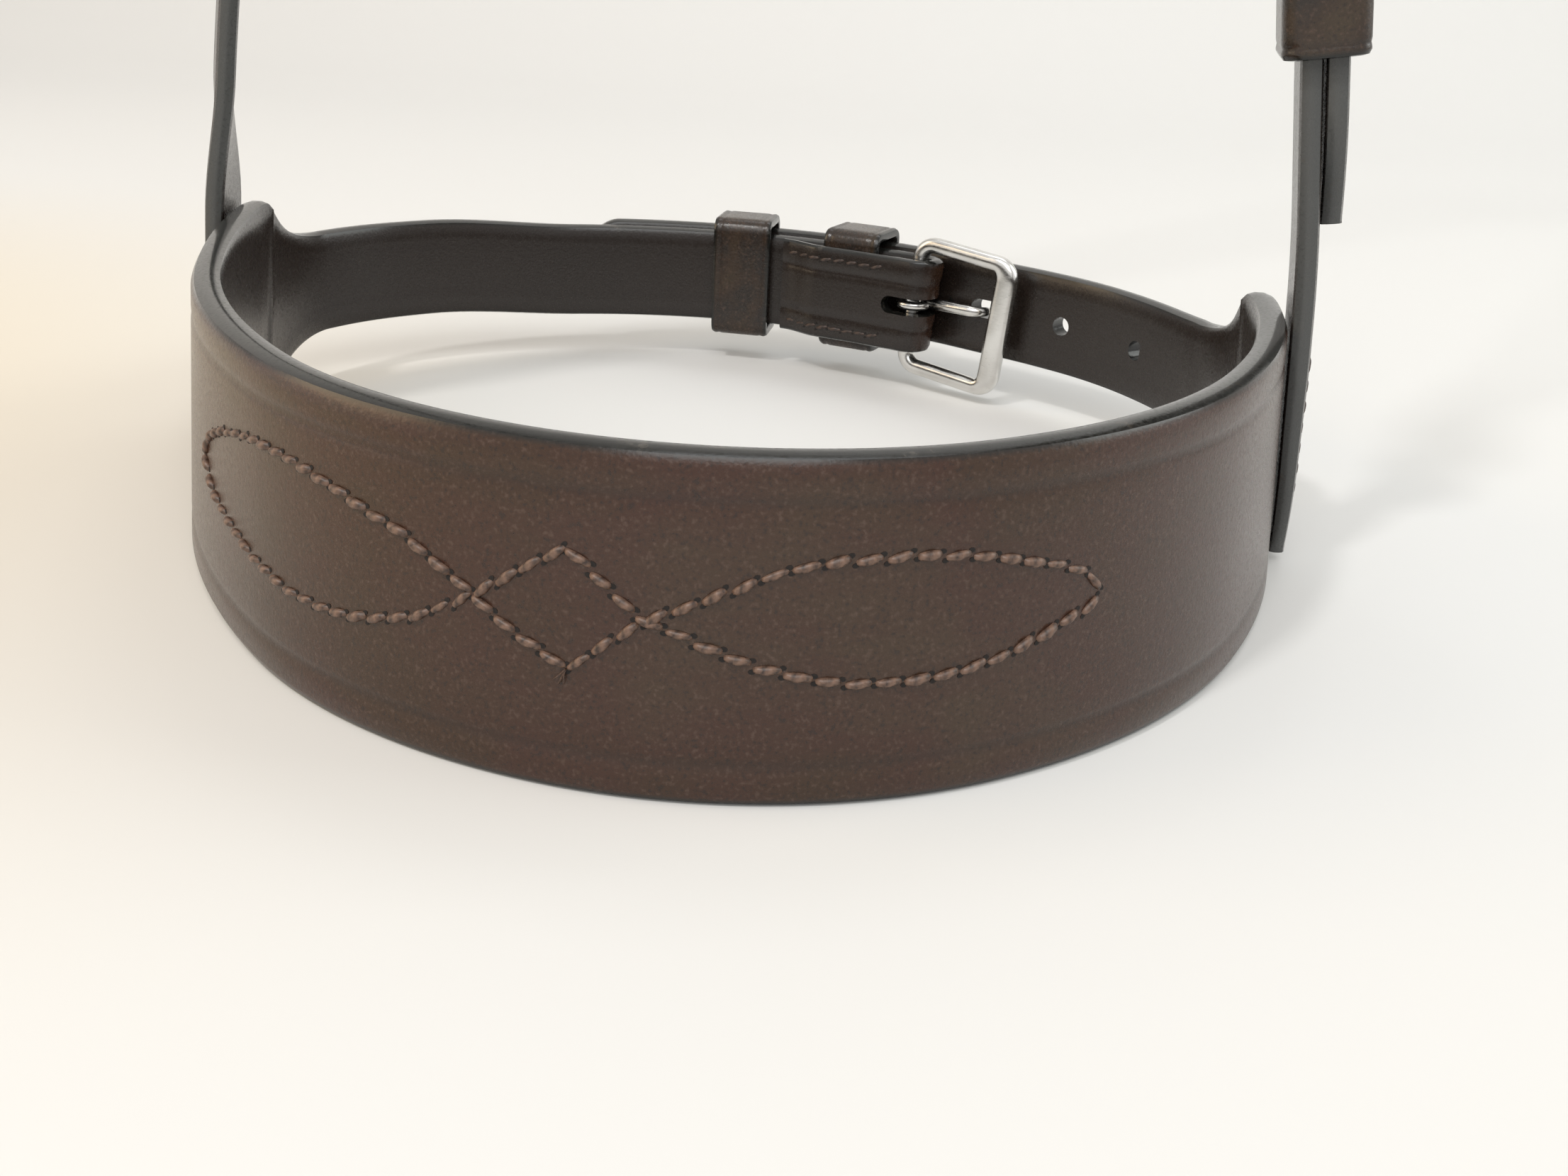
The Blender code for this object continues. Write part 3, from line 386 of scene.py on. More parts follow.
class NosebandLay:
    """Where the straps lie: the ring, the line over the poll and the two hinge bars."""

    def __init__(self) -> None:
        """Work out the bend lines and the shift to the frame's origin."""
        self.ring = self._ring_line()
        self.shift = self._shift()
        near_base = self.ring.at(HANG.near_at, closed=True)[0]
        self.off_base, self.off_heading = self.ring.at(-HANG.off_at, closed=True)
        span = near_base - self.off_base
        self.middle = (near_base + self.off_base) / 2.0
        self.side = Vector((span.x, span.y, 0.0)).normalized()
        self.hang_width_axis = Vector((-self.side.y, self.side.x, 0.0))
        self.hang = self._hang_line(span.length / 2.0)
        self.curb_seat = Seat(self._curb_place, Vector((0.0, 0.0, 1.0)))
        self.near_seat = Seat(self._near_place, self.hang_width_axis)

    def _ring_line(self) -> BendLine:
        """Closed line of the ring, from the front centre round the near side."""
        line = BendLine()
        near_point, near_heading = Vector((0.0, 0.0)), PLAN.heading
        for radius, length in PLAN.near_arcs:
            near_point, near_heading = line.add(near_point, near_heading, 1.0 / (radius * MM),
                                                length * MM)
        off_point, off_heading = Vector((0.0, 0.0)), PLAN.heading
        off_arcs = []
        for radius, length in PLAN.off_arcs:
            bend = 1.0 / (radius * MM)
            off_point, off_heading = arc_end(off_point, off_heading, bend, -length * MM)
            off_arcs.insert(0, (off_point, off_heading, bend, length * MM))
        turn = (off_heading - near_heading) % math.tau
        near_way = Vector((math.cos(near_heading), math.sin(near_heading)))
        off_way = Vector((math.cos(off_heading), math.sin(off_heading)))
        span = off_point - near_point
        cross = near_way.x * off_way.y - near_way.y * off_way.x
        near_tangent = (span.x * off_way.y - span.y * off_way.x) / cross
        off_tangent = (near_way.x * span.y - near_way.y * span.x) / cross
        tangent = min(near_tangent, off_tangent)
        radius = tangent / math.tan(turn / 2.0)
        if near_tangent > tangent:
            near_point, near_heading = line.add(near_point, near_heading, 0.0,
                                                near_tangent - tangent)
        inward = Vector((-math.sin(near_heading), math.cos(near_heading)))
        self.rear_centre = near_point + radius * inward
        near_point, near_heading = line.add(near_point, near_heading, 1.0 / radius, radius * turn)
        if off_tangent > tangent:
            line.add(near_point, near_heading, 0.0, off_tangent - tangent)
        for origin, heading, bend, length in off_arcs:
            line.add(origin, heading, bend, length)
        return line

    def _shift(self) -> Vector:
        """Shift from the ring line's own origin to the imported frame's origin."""
        joints = frame["record"]["behaviour"]["joints"]
        pivot = next(row["pos_m"] for row in joints if row["name"] == "curb_runner_swing")
        shift = Vector((pivot[0] - self.rear_centre.x, pivot[1] - self.rear_centre.y, 0.0))
        front = min(self.ring.at(index * MM)[0].y for index in range(int(self.ring.length / MM)))
        return shift

    def _hang_line(self, half_span: float) -> BendLine:
        """Upright line from the near foot over the poll to the off foot."""
        wall_lean = math.atan(LEATHER.lean_share)
        foot_x = (half_span + GAPS.layer + LEATHER.hanger_thickness
                  - LEATHER.lean_share * HANG.foot_height)
        wall_length = (LEATHER.band_width - HANG.foot_height) / math.cos(wall_lean)
        bend = 1.0 / HANG.bend_radius
        bend_length = (HANG.lean - wall_lean) * HANG.bend_radius
        line = BendLine()
        point, heading = Vector((foot_x, HANG.foot_height)), math.pi / 2.0 + wall_lean
        point, heading = line.add(point, heading, 0.0, wall_length)
        point, heading = line.add(point, heading, bend, bend_length)
        point, heading = line.add(point, heading, 0.0, HANG.rise)
        radius = point.x / math.cos(HANG.lean)
        point, heading = line.add(point, heading, 1.0 / radius,
                                  radius * (math.pi - 2.0 * HANG.lean))
        point, heading = line.add(point, heading, 0.0, HANG.rise)
        point, heading = line.add(point, heading, bend, bend_length)
        line.add(point, heading, 0.0, wall_length)
        return line

    def on_ring(self, distance: float, outward: float, height: float) -> Vector:
        """Point beside the ring line at a height, in the frame."""
        plan = self.ring.beside(distance, outward, closed=True)
        return Vector((plan.x, plan.y, height)) + self.shift

    def on_band(self, distance: float, height: float, proud: float = 0.0) -> Vector:
        """Point on the band's outer face at a height above its lower edge."""
        return self.on_ring(distance, proud - LEATHER.lean_share * height, height)

    def on_hang(self, point: Vector) -> Vector:
        """Point of the upright line's plane, in the frame."""
        base = Vector((self.middle.x, self.middle.y, 0.0)) + self.shift
        return base + point.x * self.side + Vector((0.0, 0.0, point.y))

    def level(self, distance: float) -> float:
        """Height of the ring strap's middle by distance the near way round."""
        return LEATHER.band_width / 2.0 + ramp(CURB.levels, distance % self.ring.length)

    def _curb_place(self, distance: float, outward: float) -> Vector:
        """Point past the curb bar."""
        return self.on_ring(CURB.bar_at + distance, outward, self.level(CURB.bar_at))

    def _near_place(self, distance: float, outward: float) -> Vector:
        """Point past the near cheek's bar."""
        return self.on_hang(self.hang.beside(HANG.cheek_length - distance, outward))

    def near_weave(self, distance: float) -> float:
        """Offset of the sliphead's middle from the hang line, past the cheek buckle's bar."""
        over = GAPS.layer + LEATHER.hanger_thickness / 2.0
        front = bar_offset(NEAR_BUCKLE) + NEAR_BUCKLE.reach * math.sin(HANG.frame_swing)
        under = front - NEAR_BUCKLE.bar / 2.0 - GAPS.near_billet - LEATHER.hanger_thickness / 2.0
        past = NEAR_BUCKLE.reach + NEAR_BUCKLE.front_width / 2.0
        table = ((HANG.weave_start, over), (HANG.weave_end, under), (past, under),
                 (past + HANG.weave_return, -LEATHER.hanger_thickness / 2.0))
        return ramp(table, distance)

    def billet_rise(self, distance: float) -> float:
        """Share of the way from the ring's line to the billet's place outside the chape."""
        start = CURB.bar_at - CURB_BUCKLE.reach - CURB.rise_length
        return smooth_step((distance - start) / CURB.rise_length)

    def billet_middle(self, distance: float) -> float:
        """Offset of the curb billet's middle from the ring's line."""
        rise = self.billet_rise(distance) * (LEATHER.arm_thickness + GAPS.layer)
        return rise - LEATHER.arm_thickness / 2.0


# ---------------------------------------------------------------- mesh making


def clear_selection() -> None:
    """Leave edit mode and deselect every object."""
    if bpy.context.object and bpy.context.object.mode != "OBJECT":
        bpy.ops.object.mode_set(mode="OBJECT")
    bpy.ops.object.select_all(action="DESELECT")


def make_only(piece: bpy.types.Object) -> None:
    """Make a piece the only selected and active object."""
    clear_selection()
    piece.select_set(True)
    bpy.context.view_layer.objects.active = piece


def apply_modifiers(piece: bpy.types.Object) -> None:
    """Apply a piece's modifiers in order."""
    make_only(piece)
    for modifier in list(piece.modifiers):
        bpy.ops.object.modifier_apply(modifier=modifier.name)


def shade(piece: bpy.types.Object, degrees: float = 35.0) -> None:
    """Shade a piece smooth, with sharp edges past an angle."""
    make_only(piece)
    bpy.ops.object.shade_smooth_by_angle(angle=math.radians(degrees))


def bent_grid(name: str, rows: np.ndarray, maps: dict[str, np.ndarray], around: bool, along: bool,
              caps: bool) -> bpy.types.Object:
    """Lay a flat grid over rows of points, and close it.

    Args:
        name: the piece's name.
        rows: points as (row, column, 3).
        maps: UV maps as (row, column, 2), by name.
        around: whether the last column is the first one again.
        along: whether the last row is the first one again.
        caps: whether both ends are filled.

    Returns:
        The closed piece, with outward normals.
    """
    count, across = rows.shape[0], rows.shape[1]
    clear_selection()
    bpy.ops.mesh.primitive_grid_add(x_subdivisions=across - 1, y_subdivisions=count - 1, size=1.0)
    piece = bpy.context.object
    piece.name = piece.data.name = name
    mesh = piece.data
    flat = np.empty(len(mesh.vertices) * 3)
    mesh.vertices.foreach_get("co", flat)
    flat = flat.reshape(-1, 3)
    column = np.rint((flat[:, 0] + 0.5) * (across - 1)).astype(int)
    row = np.rint((flat[:, 1] + 0.5) * (count - 1)).astype(int)
    mesh.vertices.foreach_set("co", rows[row, column].reshape(-1))
    corner = np.empty(len(mesh.loops), dtype=int)
    mesh.loops.foreach_get("vertex_index", corner)
    while mesh.uv_layers:
        mesh.uv_layers.remove(mesh.uv_layers[0])
    for map_name, values in maps.items():
        layer = mesh.uv_layers.new(name=map_name)
        layer.data.foreach_set("uv", values[row[corner], column[corner]].reshape(-1))
    mesh.update()
    make_only(piece)
    bpy.ops.object.mode_set(mode="EDIT")
    bpy.ops.mesh.select_all(action="SELECT")
    if around or along:
        bpy.ops.mesh.remove_doubles(threshold=0.02 * MM)
    if caps:
        bpy.ops.mesh.select_all(action="DESELECT")
        bpy.ops.mesh.select_mode(type="EDGE")
        bpy.ops.mesh.select_non_manifold()
        bpy.ops.mesh.edge_face_add()
        bpy.ops.mesh.select_mode(type="VERT")
    bpy.ops.mesh.select_all(action="SELECT")
    bpy.ops.mesh.normals_make_consistent(inside=False)
    bpy.ops.object.mode_set(mode="OBJECT")
    return piece


@dataclass(frozen=True)
class StrapProfile:
    """Cross-section of a strap: domed burnished edges and a pressed crease by each edge."""

    dome: float = 1.25 * MM
    crease_at: float = 4.8 * MM
    crease_half_width: float = 0.55 * MM
    crease_depth: float = 0.22 * MM
    edge_steps: int = 5

    def points(self, half_width: float,
               thickness: float) -> list[tuple[float, float, float, float]]:
        """Points round the section, from the outer face's lower side and back.

        Args:
            half_width: half of the strap's width here.
            thickness: the strap's thickness here.

        Returns:
            Rows of outward offset, height, distance from the nearest edge, and side of the face.
        """
        half = thickness / 2.0
        dome = min(self.dome, half_width * 0.6)
        crease_at = min(self.crease_at, half_width * 0.62)
        wide = self.crease_half_width
        depth = self.crease_depth if half_width > 3.0 * wide else 0.0
        steps = [max(crease_at + index * wide, dome * 1.05 + (index + 2) * 0.01 * MM)
                 for index in range(-2, 3)]
        face = list(zip(steps, (0.0, depth * 0.45, depth, depth * 0.45, 0.0)))
        face += [(mix(steps[-1], half_width, share), 0.0) for share in (0.2, 0.45, 0.72, 1.0)]
        face += [(2.0 * half_width - reach, sink) for reach, sink in reversed(face[:-1])]
        rows = []
        for side, order in ((1.0, face), (-1.0, face[::-1])):
            for reach, sink in order:
                pressed = sink if side > 0.0 else 0.0
                edge = min(reach, 2.0 * half_width - reach)
                rows.append((side * (half - pressed), reach - half_width, edge, side))
            for step in range(self.edge_steps + 1):
                angle = math.pi * step / self.edge_steps
                across = math.cos(angle) * side
                bulge = math.sin(angle) ** 0.75 * dome
                rows.append((across * half, side * (half_width - dome + bulge), dome - bulge,
                             across))
        return rows


HANGER_PROFILE = StrapProfile(dome=1.2 * MM, crease_at=2.6 * MM)
KEEPER_PROFILE = StrapProfile(dome=0.7 * MM, crease_at=1.6 * MM, crease_half_width=0.3 * MM,
                              crease_depth=0.12 * MM, edge_steps=4)


def strap(name: str, stations: list[Station], profile: StrapProfile) -> bpy.types.Object:
    """Loft a strap through its stations.

    Args:
        name: the piece's name.
        stations: its cross-sections in order.
        profile: the shape of its section.

    Returns:
        The strap, with UV maps "flat" (along, across) and "skin" (edge distance, face).
    """
    rows, flat, skin = [], [], []
    for index, station in enumerate(stations):
        before = stations[max(index - 1, 0)].centre
        after = stations[min(index + 1, len(stations) - 1)].centre
        along = (after - before).normalized()
        outward = along.cross(station.width_axis).normalized()
        section = profile.points(station.half_width, station.thickness)
        section.append(section[0])
        rows.append([station.centre + (across - station.lean * up - station.ridge
                                       * (side < -0.9) * (edge > 1.0 * MM)) * outward
                     + up * station.width_axis for across, up, edge, side in section])
        flat.append([(station.distance, up) for _, up, _, _ in section])
        skin.append([(edge, side) for _, _, edge, side in section])
    maps = {"flat": np.array(flat), "skin": np.array(skin)}
    points = np.array([[tuple(point) for point in row] for row in rows])
    return bent_grid(name, points, maps, around=True, along=False, caps=True)


def punch(piece: bpy.types.Object, matrix: Matrix, half_length: float, half_width: float,
          depth: float) -> None:
    """Punch a hole with a tube punch.

    Args:
        piece: the strap.
        matrix: the hole's middle, with its own Z through the leather.
        half_length: half of the hole along the matrix's X.
        half_width: half of the hole along the matrix's Y.
        depth: length of the punch.
    """
    clear_selection()
    bpy.ops.mesh.primitive_cylinder_add(vertices=32, radius=1.0, depth=depth)
    tool = bpy.context.object
    straight = max(half_length - half_width, 0.0)
    for vertex in tool.data.vertices:
        vertex.co.x = vertex.co.x * half_width + math.copysign(straight, vertex.co.x)
        vertex.co.y *= half_width
    tool.data.transform(matrix)
    modifier = piece.modifiers.new("punch", "BOOLEAN")
    modifier.operation = "DIFFERENCE"
    modifier.solver = "EXACT"
    modifier.object = tool
    apply_modifiers(piece)
    bpy.data.objects.remove(tool)


def swept(name: str, centres: list[Vector], firsts: list[Vector], seconds: list[Vector],
          sections: list[list[tuple[float, float]]], closed: bool) -> bpy.types.Object:
    """Sweep a changing section along points.

    Args:
        name: the piece's name.
        centres: points along the piece.
        firsts: first section axis at each point.
        seconds: second section axis at each point.
        sections: the section's points at each place, as offsets on the two axes.
        closed: whether the sweep is a closed loop.

    Returns:
        The closed piece.
    """
    rows, flat = [], []
    run = 0.0
    total = list(range(len(centres))) + ([0] if closed else [])
    previous = centres[0]
    for index in total:
        run += (centres[index] - previous).length
        previous = centres[index]
        ring = sections[index] + [sections[index][0]]
        rows.append([tuple(centres[index] + a * firsts[index] + b * seconds[index])
                     for a, b in ring])
        flat.append([(run, step / len(sections[index])) for step in range(len(ring))])
    maps = {"flat": np.array(flat)}
    return bent_grid(name, np.array(rows), maps, around=True, along=closed, caps=not closed)


def rounded_section(half_a: float, half_b: float, power: float,
                    count: int) -> list[tuple[float, float]]:
    """Section between a circle and a square: power 2 is round, and more is squarer."""
    points = []
    for step in range(count):
        angle = math.tau * step / count
        cosine, sine = math.cos(angle), math.sin(angle)
        points.append((half_a * math.copysign(abs(cosine) ** (2.0 / power), cosine),
                       half_b * math.copysign(abs(sine) ** (2.0 / power), sine)))
    return points


def rounded_path(low: float, high: float, bottom: float, top: float, radius: float, turns: int,
                 shares: tuple[float, ...]) -> list[tuple[float, float, float]]:
    """Go round a rectangle with round corners.

    Args:
        low: its least x.
        high: its greatest x.
        bottom: its least y.
        top: its greatest y.
        radius: the corners' radius.
        turns: steps in each corner.
        shares: places of the points on each side, from 0 to 1.

    Returns:
        Rows of x, y and the outward angle.
    """
    corners = ((high - radius, top - radius), (low + radius, top - radius),
               (low + radius, bottom + radius), (high - radius, bottom + radius))
    path = []
    for quarter, (x, y) in enumerate(corners):
        for step in range(turns + 1):
            angle = (quarter + step / turns) * math.pi / 2.0
            path.append((x + radius * math.cos(angle), y + radius * math.sin(angle), angle))
        first_x, first_y, _ = path[-1]
        next_x, next_y = corners[(quarter + 1) % 4]
        last_x, last_y = next_x + radius * math.cos(angle), next_y + radius * math.sin(angle)
        path += [(mix(first_x, last_x, share), mix(first_y, last_y, share), angle)
                 for share in shares]
    return path


# ---------------------------------------------------------------- finishes


class Slot(Enum):
    """Material slots of the record."""

    BRIDLE = "bridle_leather"
    KEEPER = "keeper_leather"
    METAL = "buckle_metal"


Socket = bpy.types.NodeSocket


def set_node(tree: bpy.types.NodeTree, node: bpy.types.Node, settings: dict) -> None:
    """Set a node's properties, its colour stops and its inputs, which may be other sockets."""
    for key, value in settings.items():
        if key == "stops":
            elements = node.color_ramp.elements
            while len(elements) < len(value):
                elements.new(0.5)
            for element, (place, code) in zip(elements, value):
                element.position = place
                element.color = linear(code)
        elif isinstance(value, Socket):
            tree.links.new(value, node.inputs[key])
        elif isinstance(key, str) and hasattr(node, key):
            setattr(node, key, value)
        else:
            node.inputs[key].default_value = value


def add_node(tree: bpy.types.NodeTree, kind: str, settings: dict, output: int | str = 0) -> Socket:
    """Add one node with its settings and links.

    Args:
        tree: the node tree.
        kind: the node's type, without its first part, ShaderNode.
        settings: its properties by name, and its inputs by index or name.
        output: the output to give back.

    Returns:
        That output.
    """
    node = tree.nodes.new("ShaderNode" + kind)
    set_node(tree, node, settings)
    return node.outputs[output]


def new_material(name: str) -> tuple[bpy.types.Material, Callable[..., Socket]]:
    """Start a material, and give what adds nodes to it."""
    material = bpy.data.materials.new(name)
    material.use_nodes = True
    return material, functools.partial(add_node, material.node_tree)


def finished(material: bpy.types.Material, inputs: dict) -> bpy.types.Material:
    """Feed a material's shader and hand the material over."""
    set_node(material.node_tree, material.node_tree.nodes["Principled BSDF"], inputs)
    return material


@dataclass(frozen=True)
class BridleLeather:
    """Vegetable-tanned bridle leather: curried with wax, so it is dark, close and softly glossy.

    The grain side is smooth with fine pores, the flesh side is pasted and darker, and
    the edges are dyed black and rubbed until they shine.
    """

    name: str
    face: str = "#372313"
    face_warm: str = "#3a2115"
    face_dry: str = "#3b291a"
    wax_bloom: str = "#57443a"
    pore_dark: str = "#1f1511"
    # Colour of the painted shade along the crease
    crease_shade: str = "#1f1613"
    # The flesh side's own colour, also laid on the turn-back as painted shade
    flesh: str = "#251e1a"
    edge: str = "#1b1b19"
    scuff: str = "#4b4640"
    scuff_mm: float = 6.0
    edge_roughness: float = 0.14
    roughness: float = 0.25
    pore_mm: float = 0.45
    speck_mm: float = 0.50
    cloud_mm: float = 32.0
    crease_mm: float = 4.8
    # Length along the strap over which the turn-back is painted in shade (mm)
    turn_back_shade_mm: float = -10.0

    def material(self) -> bpy.types.Material:
        """Build the leather's material. A MapRange's inputs are value, from, from, to and to."""
        material, add = new_material(self.name)
        place = add("TexCoord", {}, "Object")
        flat = add("UVMap", {"uv_map": "flat"})
        run = add("SeparateXYZ", {0: flat})
        from_edge = add("SeparateXYZ", {0: add("UVMap", {"uv_map": "skin"})})
        side = from_edge.node.outputs[1]
        # The hide's cloudy dye, and streaks along the strap from the currier's slicker
        cloud = add("TexNoise", {"Vector": place, "Scale": 1000.0 / self.cloud_mm, "Detail": 3.0,
                                 "Roughness": 0.55})
        drawn = add("Mapping", {"Vector": flat, "Scale": (40.0, 260.0, 1.0)})
        streak = add("TexNoise", {"Vector": drawn, "Scale": 1.0, "Detail": 4.0, "Roughness": 0.6})
        dye = add("Math", {"operation": "MULTIPLY_ADD", 0: streak, 1: 0.30, 2: cloud})
        base = add("ValToRGB", {0: dye, "stops": ((0.56, self.face), (0.70, self.face_warm),
                                                  (0.86, self.face_dry))})
        # Half-millimetre specks: wax bloom on the grain, and open pores
        speck = add("TexNoise", {"Vector": place, "Scale": 1000.0 / self.speck_mm})
        bloom = add("MapRange", {0: speck, 1: 0.56, 2: 0.72, 4: 0.55})
        pores = add("MapRange", {0: speck, 1: 0.44, 2: 0.31, 4: 0.65})
        # Painted shade: the turn-back's grain face lies in shade inside the ring, so the turn-back
        # takes the flesh colour; the flesh side is darker in its own right
        turn_back = self.turn_back_shade_mm * MM
        folded = add("MapRange", {0: run, 1: turn_back + 6.0 * MM, 2: turn_back + 2.0 * MM})
        flesh_side = add("MapRange", {0: side, 1: 0.2, 2: -0.6})
        inside = add("Math", {"operation": "MAXIMUM", 0: flesh_side, 1: folded})
        # The dyed edge wears through in patches
        edge = add("MapRange", {0: from_edge, 1: 1.0 * MM, 2: 0.35 * MM})
        wear = add("TexNoise", {"Vector": place, "Scale": 1000.0 / self.scuff_mm, "Detail": 6.0,
                                "Roughness": 0.75})
        patches = add("MapRange", {0: wear, 1: 0.60, 2: 0.68, 4: 0.8})
        rim = add("Mix", {"data_type": "RGBA", 0: patches, 6: linear(self.edge),
                          7: linear(self.scuff)}, 2)
        # Painted shade: a dark line laid along the crease groove beside the edge
        from_line = add("Math", {"operation": "SUBTRACT", 0: from_edge, 1: self.crease_mm * MM})
        off_line = add("Math", {"operation": "ABSOLUTE", 0: from_line})
        line = add("MapRange", {0: off_line, 1: 0.90 * MM, 2: 0.1 * MM, 4: 0.30})
        for layer, colour in ((bloom, linear(self.wax_bloom)), (pores, linear(self.pore_dark)),
                              (inside, linear(self.flesh)), (edge, rim),
                              (line, linear(self.crease_shade))):
            base = add("Mix", {"data_type": "RGBA", 0: layer, 6: base, 7: colour}, 2)
        # Rubbing the edges fills their grain
        grain = add("TexNoise", {"Vector": place, "Scale": 1000.0 / (self.pore_mm * 1.6),
                                 "Detail": 5.0, "Roughness": 0.7})
        pore = add("TexVoronoi", {"Vector": place, "Scale": 1000.0 / self.pore_mm}, "Distance")
        rough = add("MapRange", {0: grain, 1: 0.3, 2: 0.75, 3: self.roughness - 0.05,
                                 4: self.roughness + 0.09})
        rubbed = add("MapRange", {0: speck, 1: 0.35, 2: 0.7, 3: self.edge_roughness - 0.06,
                                  4: self.edge_roughness + 0.12})
        worn = add("Mix", {"data_type": "FLOAT", 0: edge, 2: rough, 3: rubbed})
        height = add("Math", {"operation": "MULTIPLY_ADD", 0: pore, 1: 0.35, 2: grain})
        depth = add("MapRange", {0: edge, 3: 0.30, 4: 0.07})
        bump = add("Bump", {"Distance": 0.12 * MM, "Strength": depth, "Height": height})
        return finished(material, {"Base Color": base, "Roughness": worn, "Normal": bump,
                                   "IOR": 1.50})


@dataclass(frozen=True)
class WaxedThread:
    """Linen thread of twisted plies, waxed: light brown, with painted shade in the grooves of the
    twist and painted highlight on its crests.
    """

    name: str
    light: str = "#5b463a"
    bright: str = "#775d4e"
    dark: str = "#2e211b"
    twist_mm: float = 1.5
    roughness: float = 0.42

    def material(self) -> bpy.types.Material:
        """Build the thread's material."""
        material, add = new_material(self.name)
        along = add("SeparateXYZ", {0: add("UVMap", {"uv_map": "flat"})})
        turn = add("Math", {"operation": "MULTIPLY_ADD", 0: along, 1: 1000.0 / self.twist_mm,
                            2: along.node.outputs[1]})
        ply = add("Math", {"operation": "PINGPONG", 0: turn, 1: 0.5})
        fluff = add("TexNoise", {"Vector": add("TexCoord", {}, "Object"), "Scale": 2600.0,
                                 "Detail": 3.0})
        tone = add("Math", {"operation": "MULTIPLY_ADD", 0: fluff, 1: 0.9, 2: ply})
        # Painted shade and highlight: the dark stop falls in the twist's grooves and the bright
        # stop on its crests
        base = add("ValToRGB", {0: tone, "stops": ((0.34, self.dark), (0.62, self.light),
                                                   (0.95, self.bright))})
        bump = add("Bump", {"Distance": 0.15 * MM, "Strength": 0.6, "Height": ply})
        return finished(material, {"Base Color": base, "Normal": bump,
                                   "Roughness": self.roughness})


@dataclass(frozen=True)
class NickelPlate:
    """Cast brass, polished and nickel plated: bright, faintly warm white, with hairline wear."""

    name: str = "nickel_plated_brass"
    colour: str = "#e9e8e5"
    dull: str = "#cfcdc9"
    scratch_mm: float = 1.4

    def material(self) -> bpy.types.Material:
        """Build the metal's material."""
        material, add = new_material(self.name)
        place = add("TexCoord", {}, "Object")
        drawn = add("Mapping", {"Vector": place, "Scale": (1.0, 1.0, 6.0)})
        hair = add("TexNoise", {"Vector": drawn, "Scale": 1000.0 / self.scratch_mm, "Detail": 6.0,
                                "Roughness": 0.7})
        cloud = add("TexNoise", {"Vector": place, "Scale": 180.0})
        base = add("ValToRGB", {0: cloud, "stops": ((0.35, self.colour), (0.75, self.dull))})
        rough = add("MapRange", {0: hair, 1: 0.35, 2: 0.7, 3: 0.16, 4: 0.30})
        bump = add("Bump", {"Distance": 0.05 * MM, "Strength": 0.12, "Height": hair})
        return finished(material, {"Base Color": base, "Roughness": rough, "Normal": bump,
                                   "Metallic": 1.0})


@dataclass(frozen=True)
class DarkPrick:
    """Awl hole, drawn as a nearly black patch on the face: painted shade in place of the hole's
    recess.
    """

    name: str = "awl_hole_shade"
    colour: str = "#100c0a"
    shade_fleck: str = "#1f1713"

    def material(self) -> bpy.types.Material:
        """Build the hole's material."""
        material, add = new_material(self.name)
        fibre = add("TexNoise", {"Vector": add("TexCoord", {}, "Object"), "Scale": 3000.0})
        base = add("ValToRGB", {0: fibre, "stops": ((0.3, self.colour), (0.8, self.shade_fleck))})
        return finished(material, {"Base Color": base, "Roughness": 0.85})


# ---------------------------------------------------------------- leather pieces


def enlist(piece: bpy.types.Object, material: bpy.types.Material, body: str, node: str = "",
           slot: Slot | None = None) -> bpy.types.Object:
    """Dress a finished piece, hang it on its body and hide the solid it stands for.

    Args:
        piece: the finished piece.
        material: its finish.
        body: the body it rides on.
        node: the solid it stands for.
        slot: the record's material slot; not used.

    Returns:
        The same piece.
    """
    piece.data.materials.clear()
    piece.data.materials.append(material)
    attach(piece, body)
    if node:
        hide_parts(node)
    LOG.info("%s: %d faces on %s", piece.name, len(piece.data.polygons), body)
    return piece


def turn_back_layers(buckle: BuckleSizes, main: float) -> tuple[tuple, tuple]:
    """Outer offset and thickness of a turn-back, by distance from the hinge bar."""
    under = -(main + GAPS.keeper + KEEPER.wall + GAPS.layer * 2.0)
    face = ((0.0, bar_offset(buckle) - buckle.bar / 2.0 - GAPS.bar),
            (KEEPER.fixed_at - KEEPER.width / 2.0, under),
            (KEEPER.fixed_at + KEEPER.width / 2.0, under),
            (LEATHER.turn_back_length, -(main + GAPS.layer)))
    body = ((0.0, LEATHER.fold_thickness), (KEEPER.fixed_at, LEATHER.turn_back_thickness),
            (LEATHER.turn_back_length, LEATHER.skived_thickness))
    return face, body


def foot_thickness(to_tip: float) -> float:
    """Thickness of a hanger that is pared towards its sewn foot."""
    share = min(to_tip / HANG.foot_length, 1.0)
    return mix(LEATHER.hanger_foot_thickness, LEATHER.hanger_thickness, share)


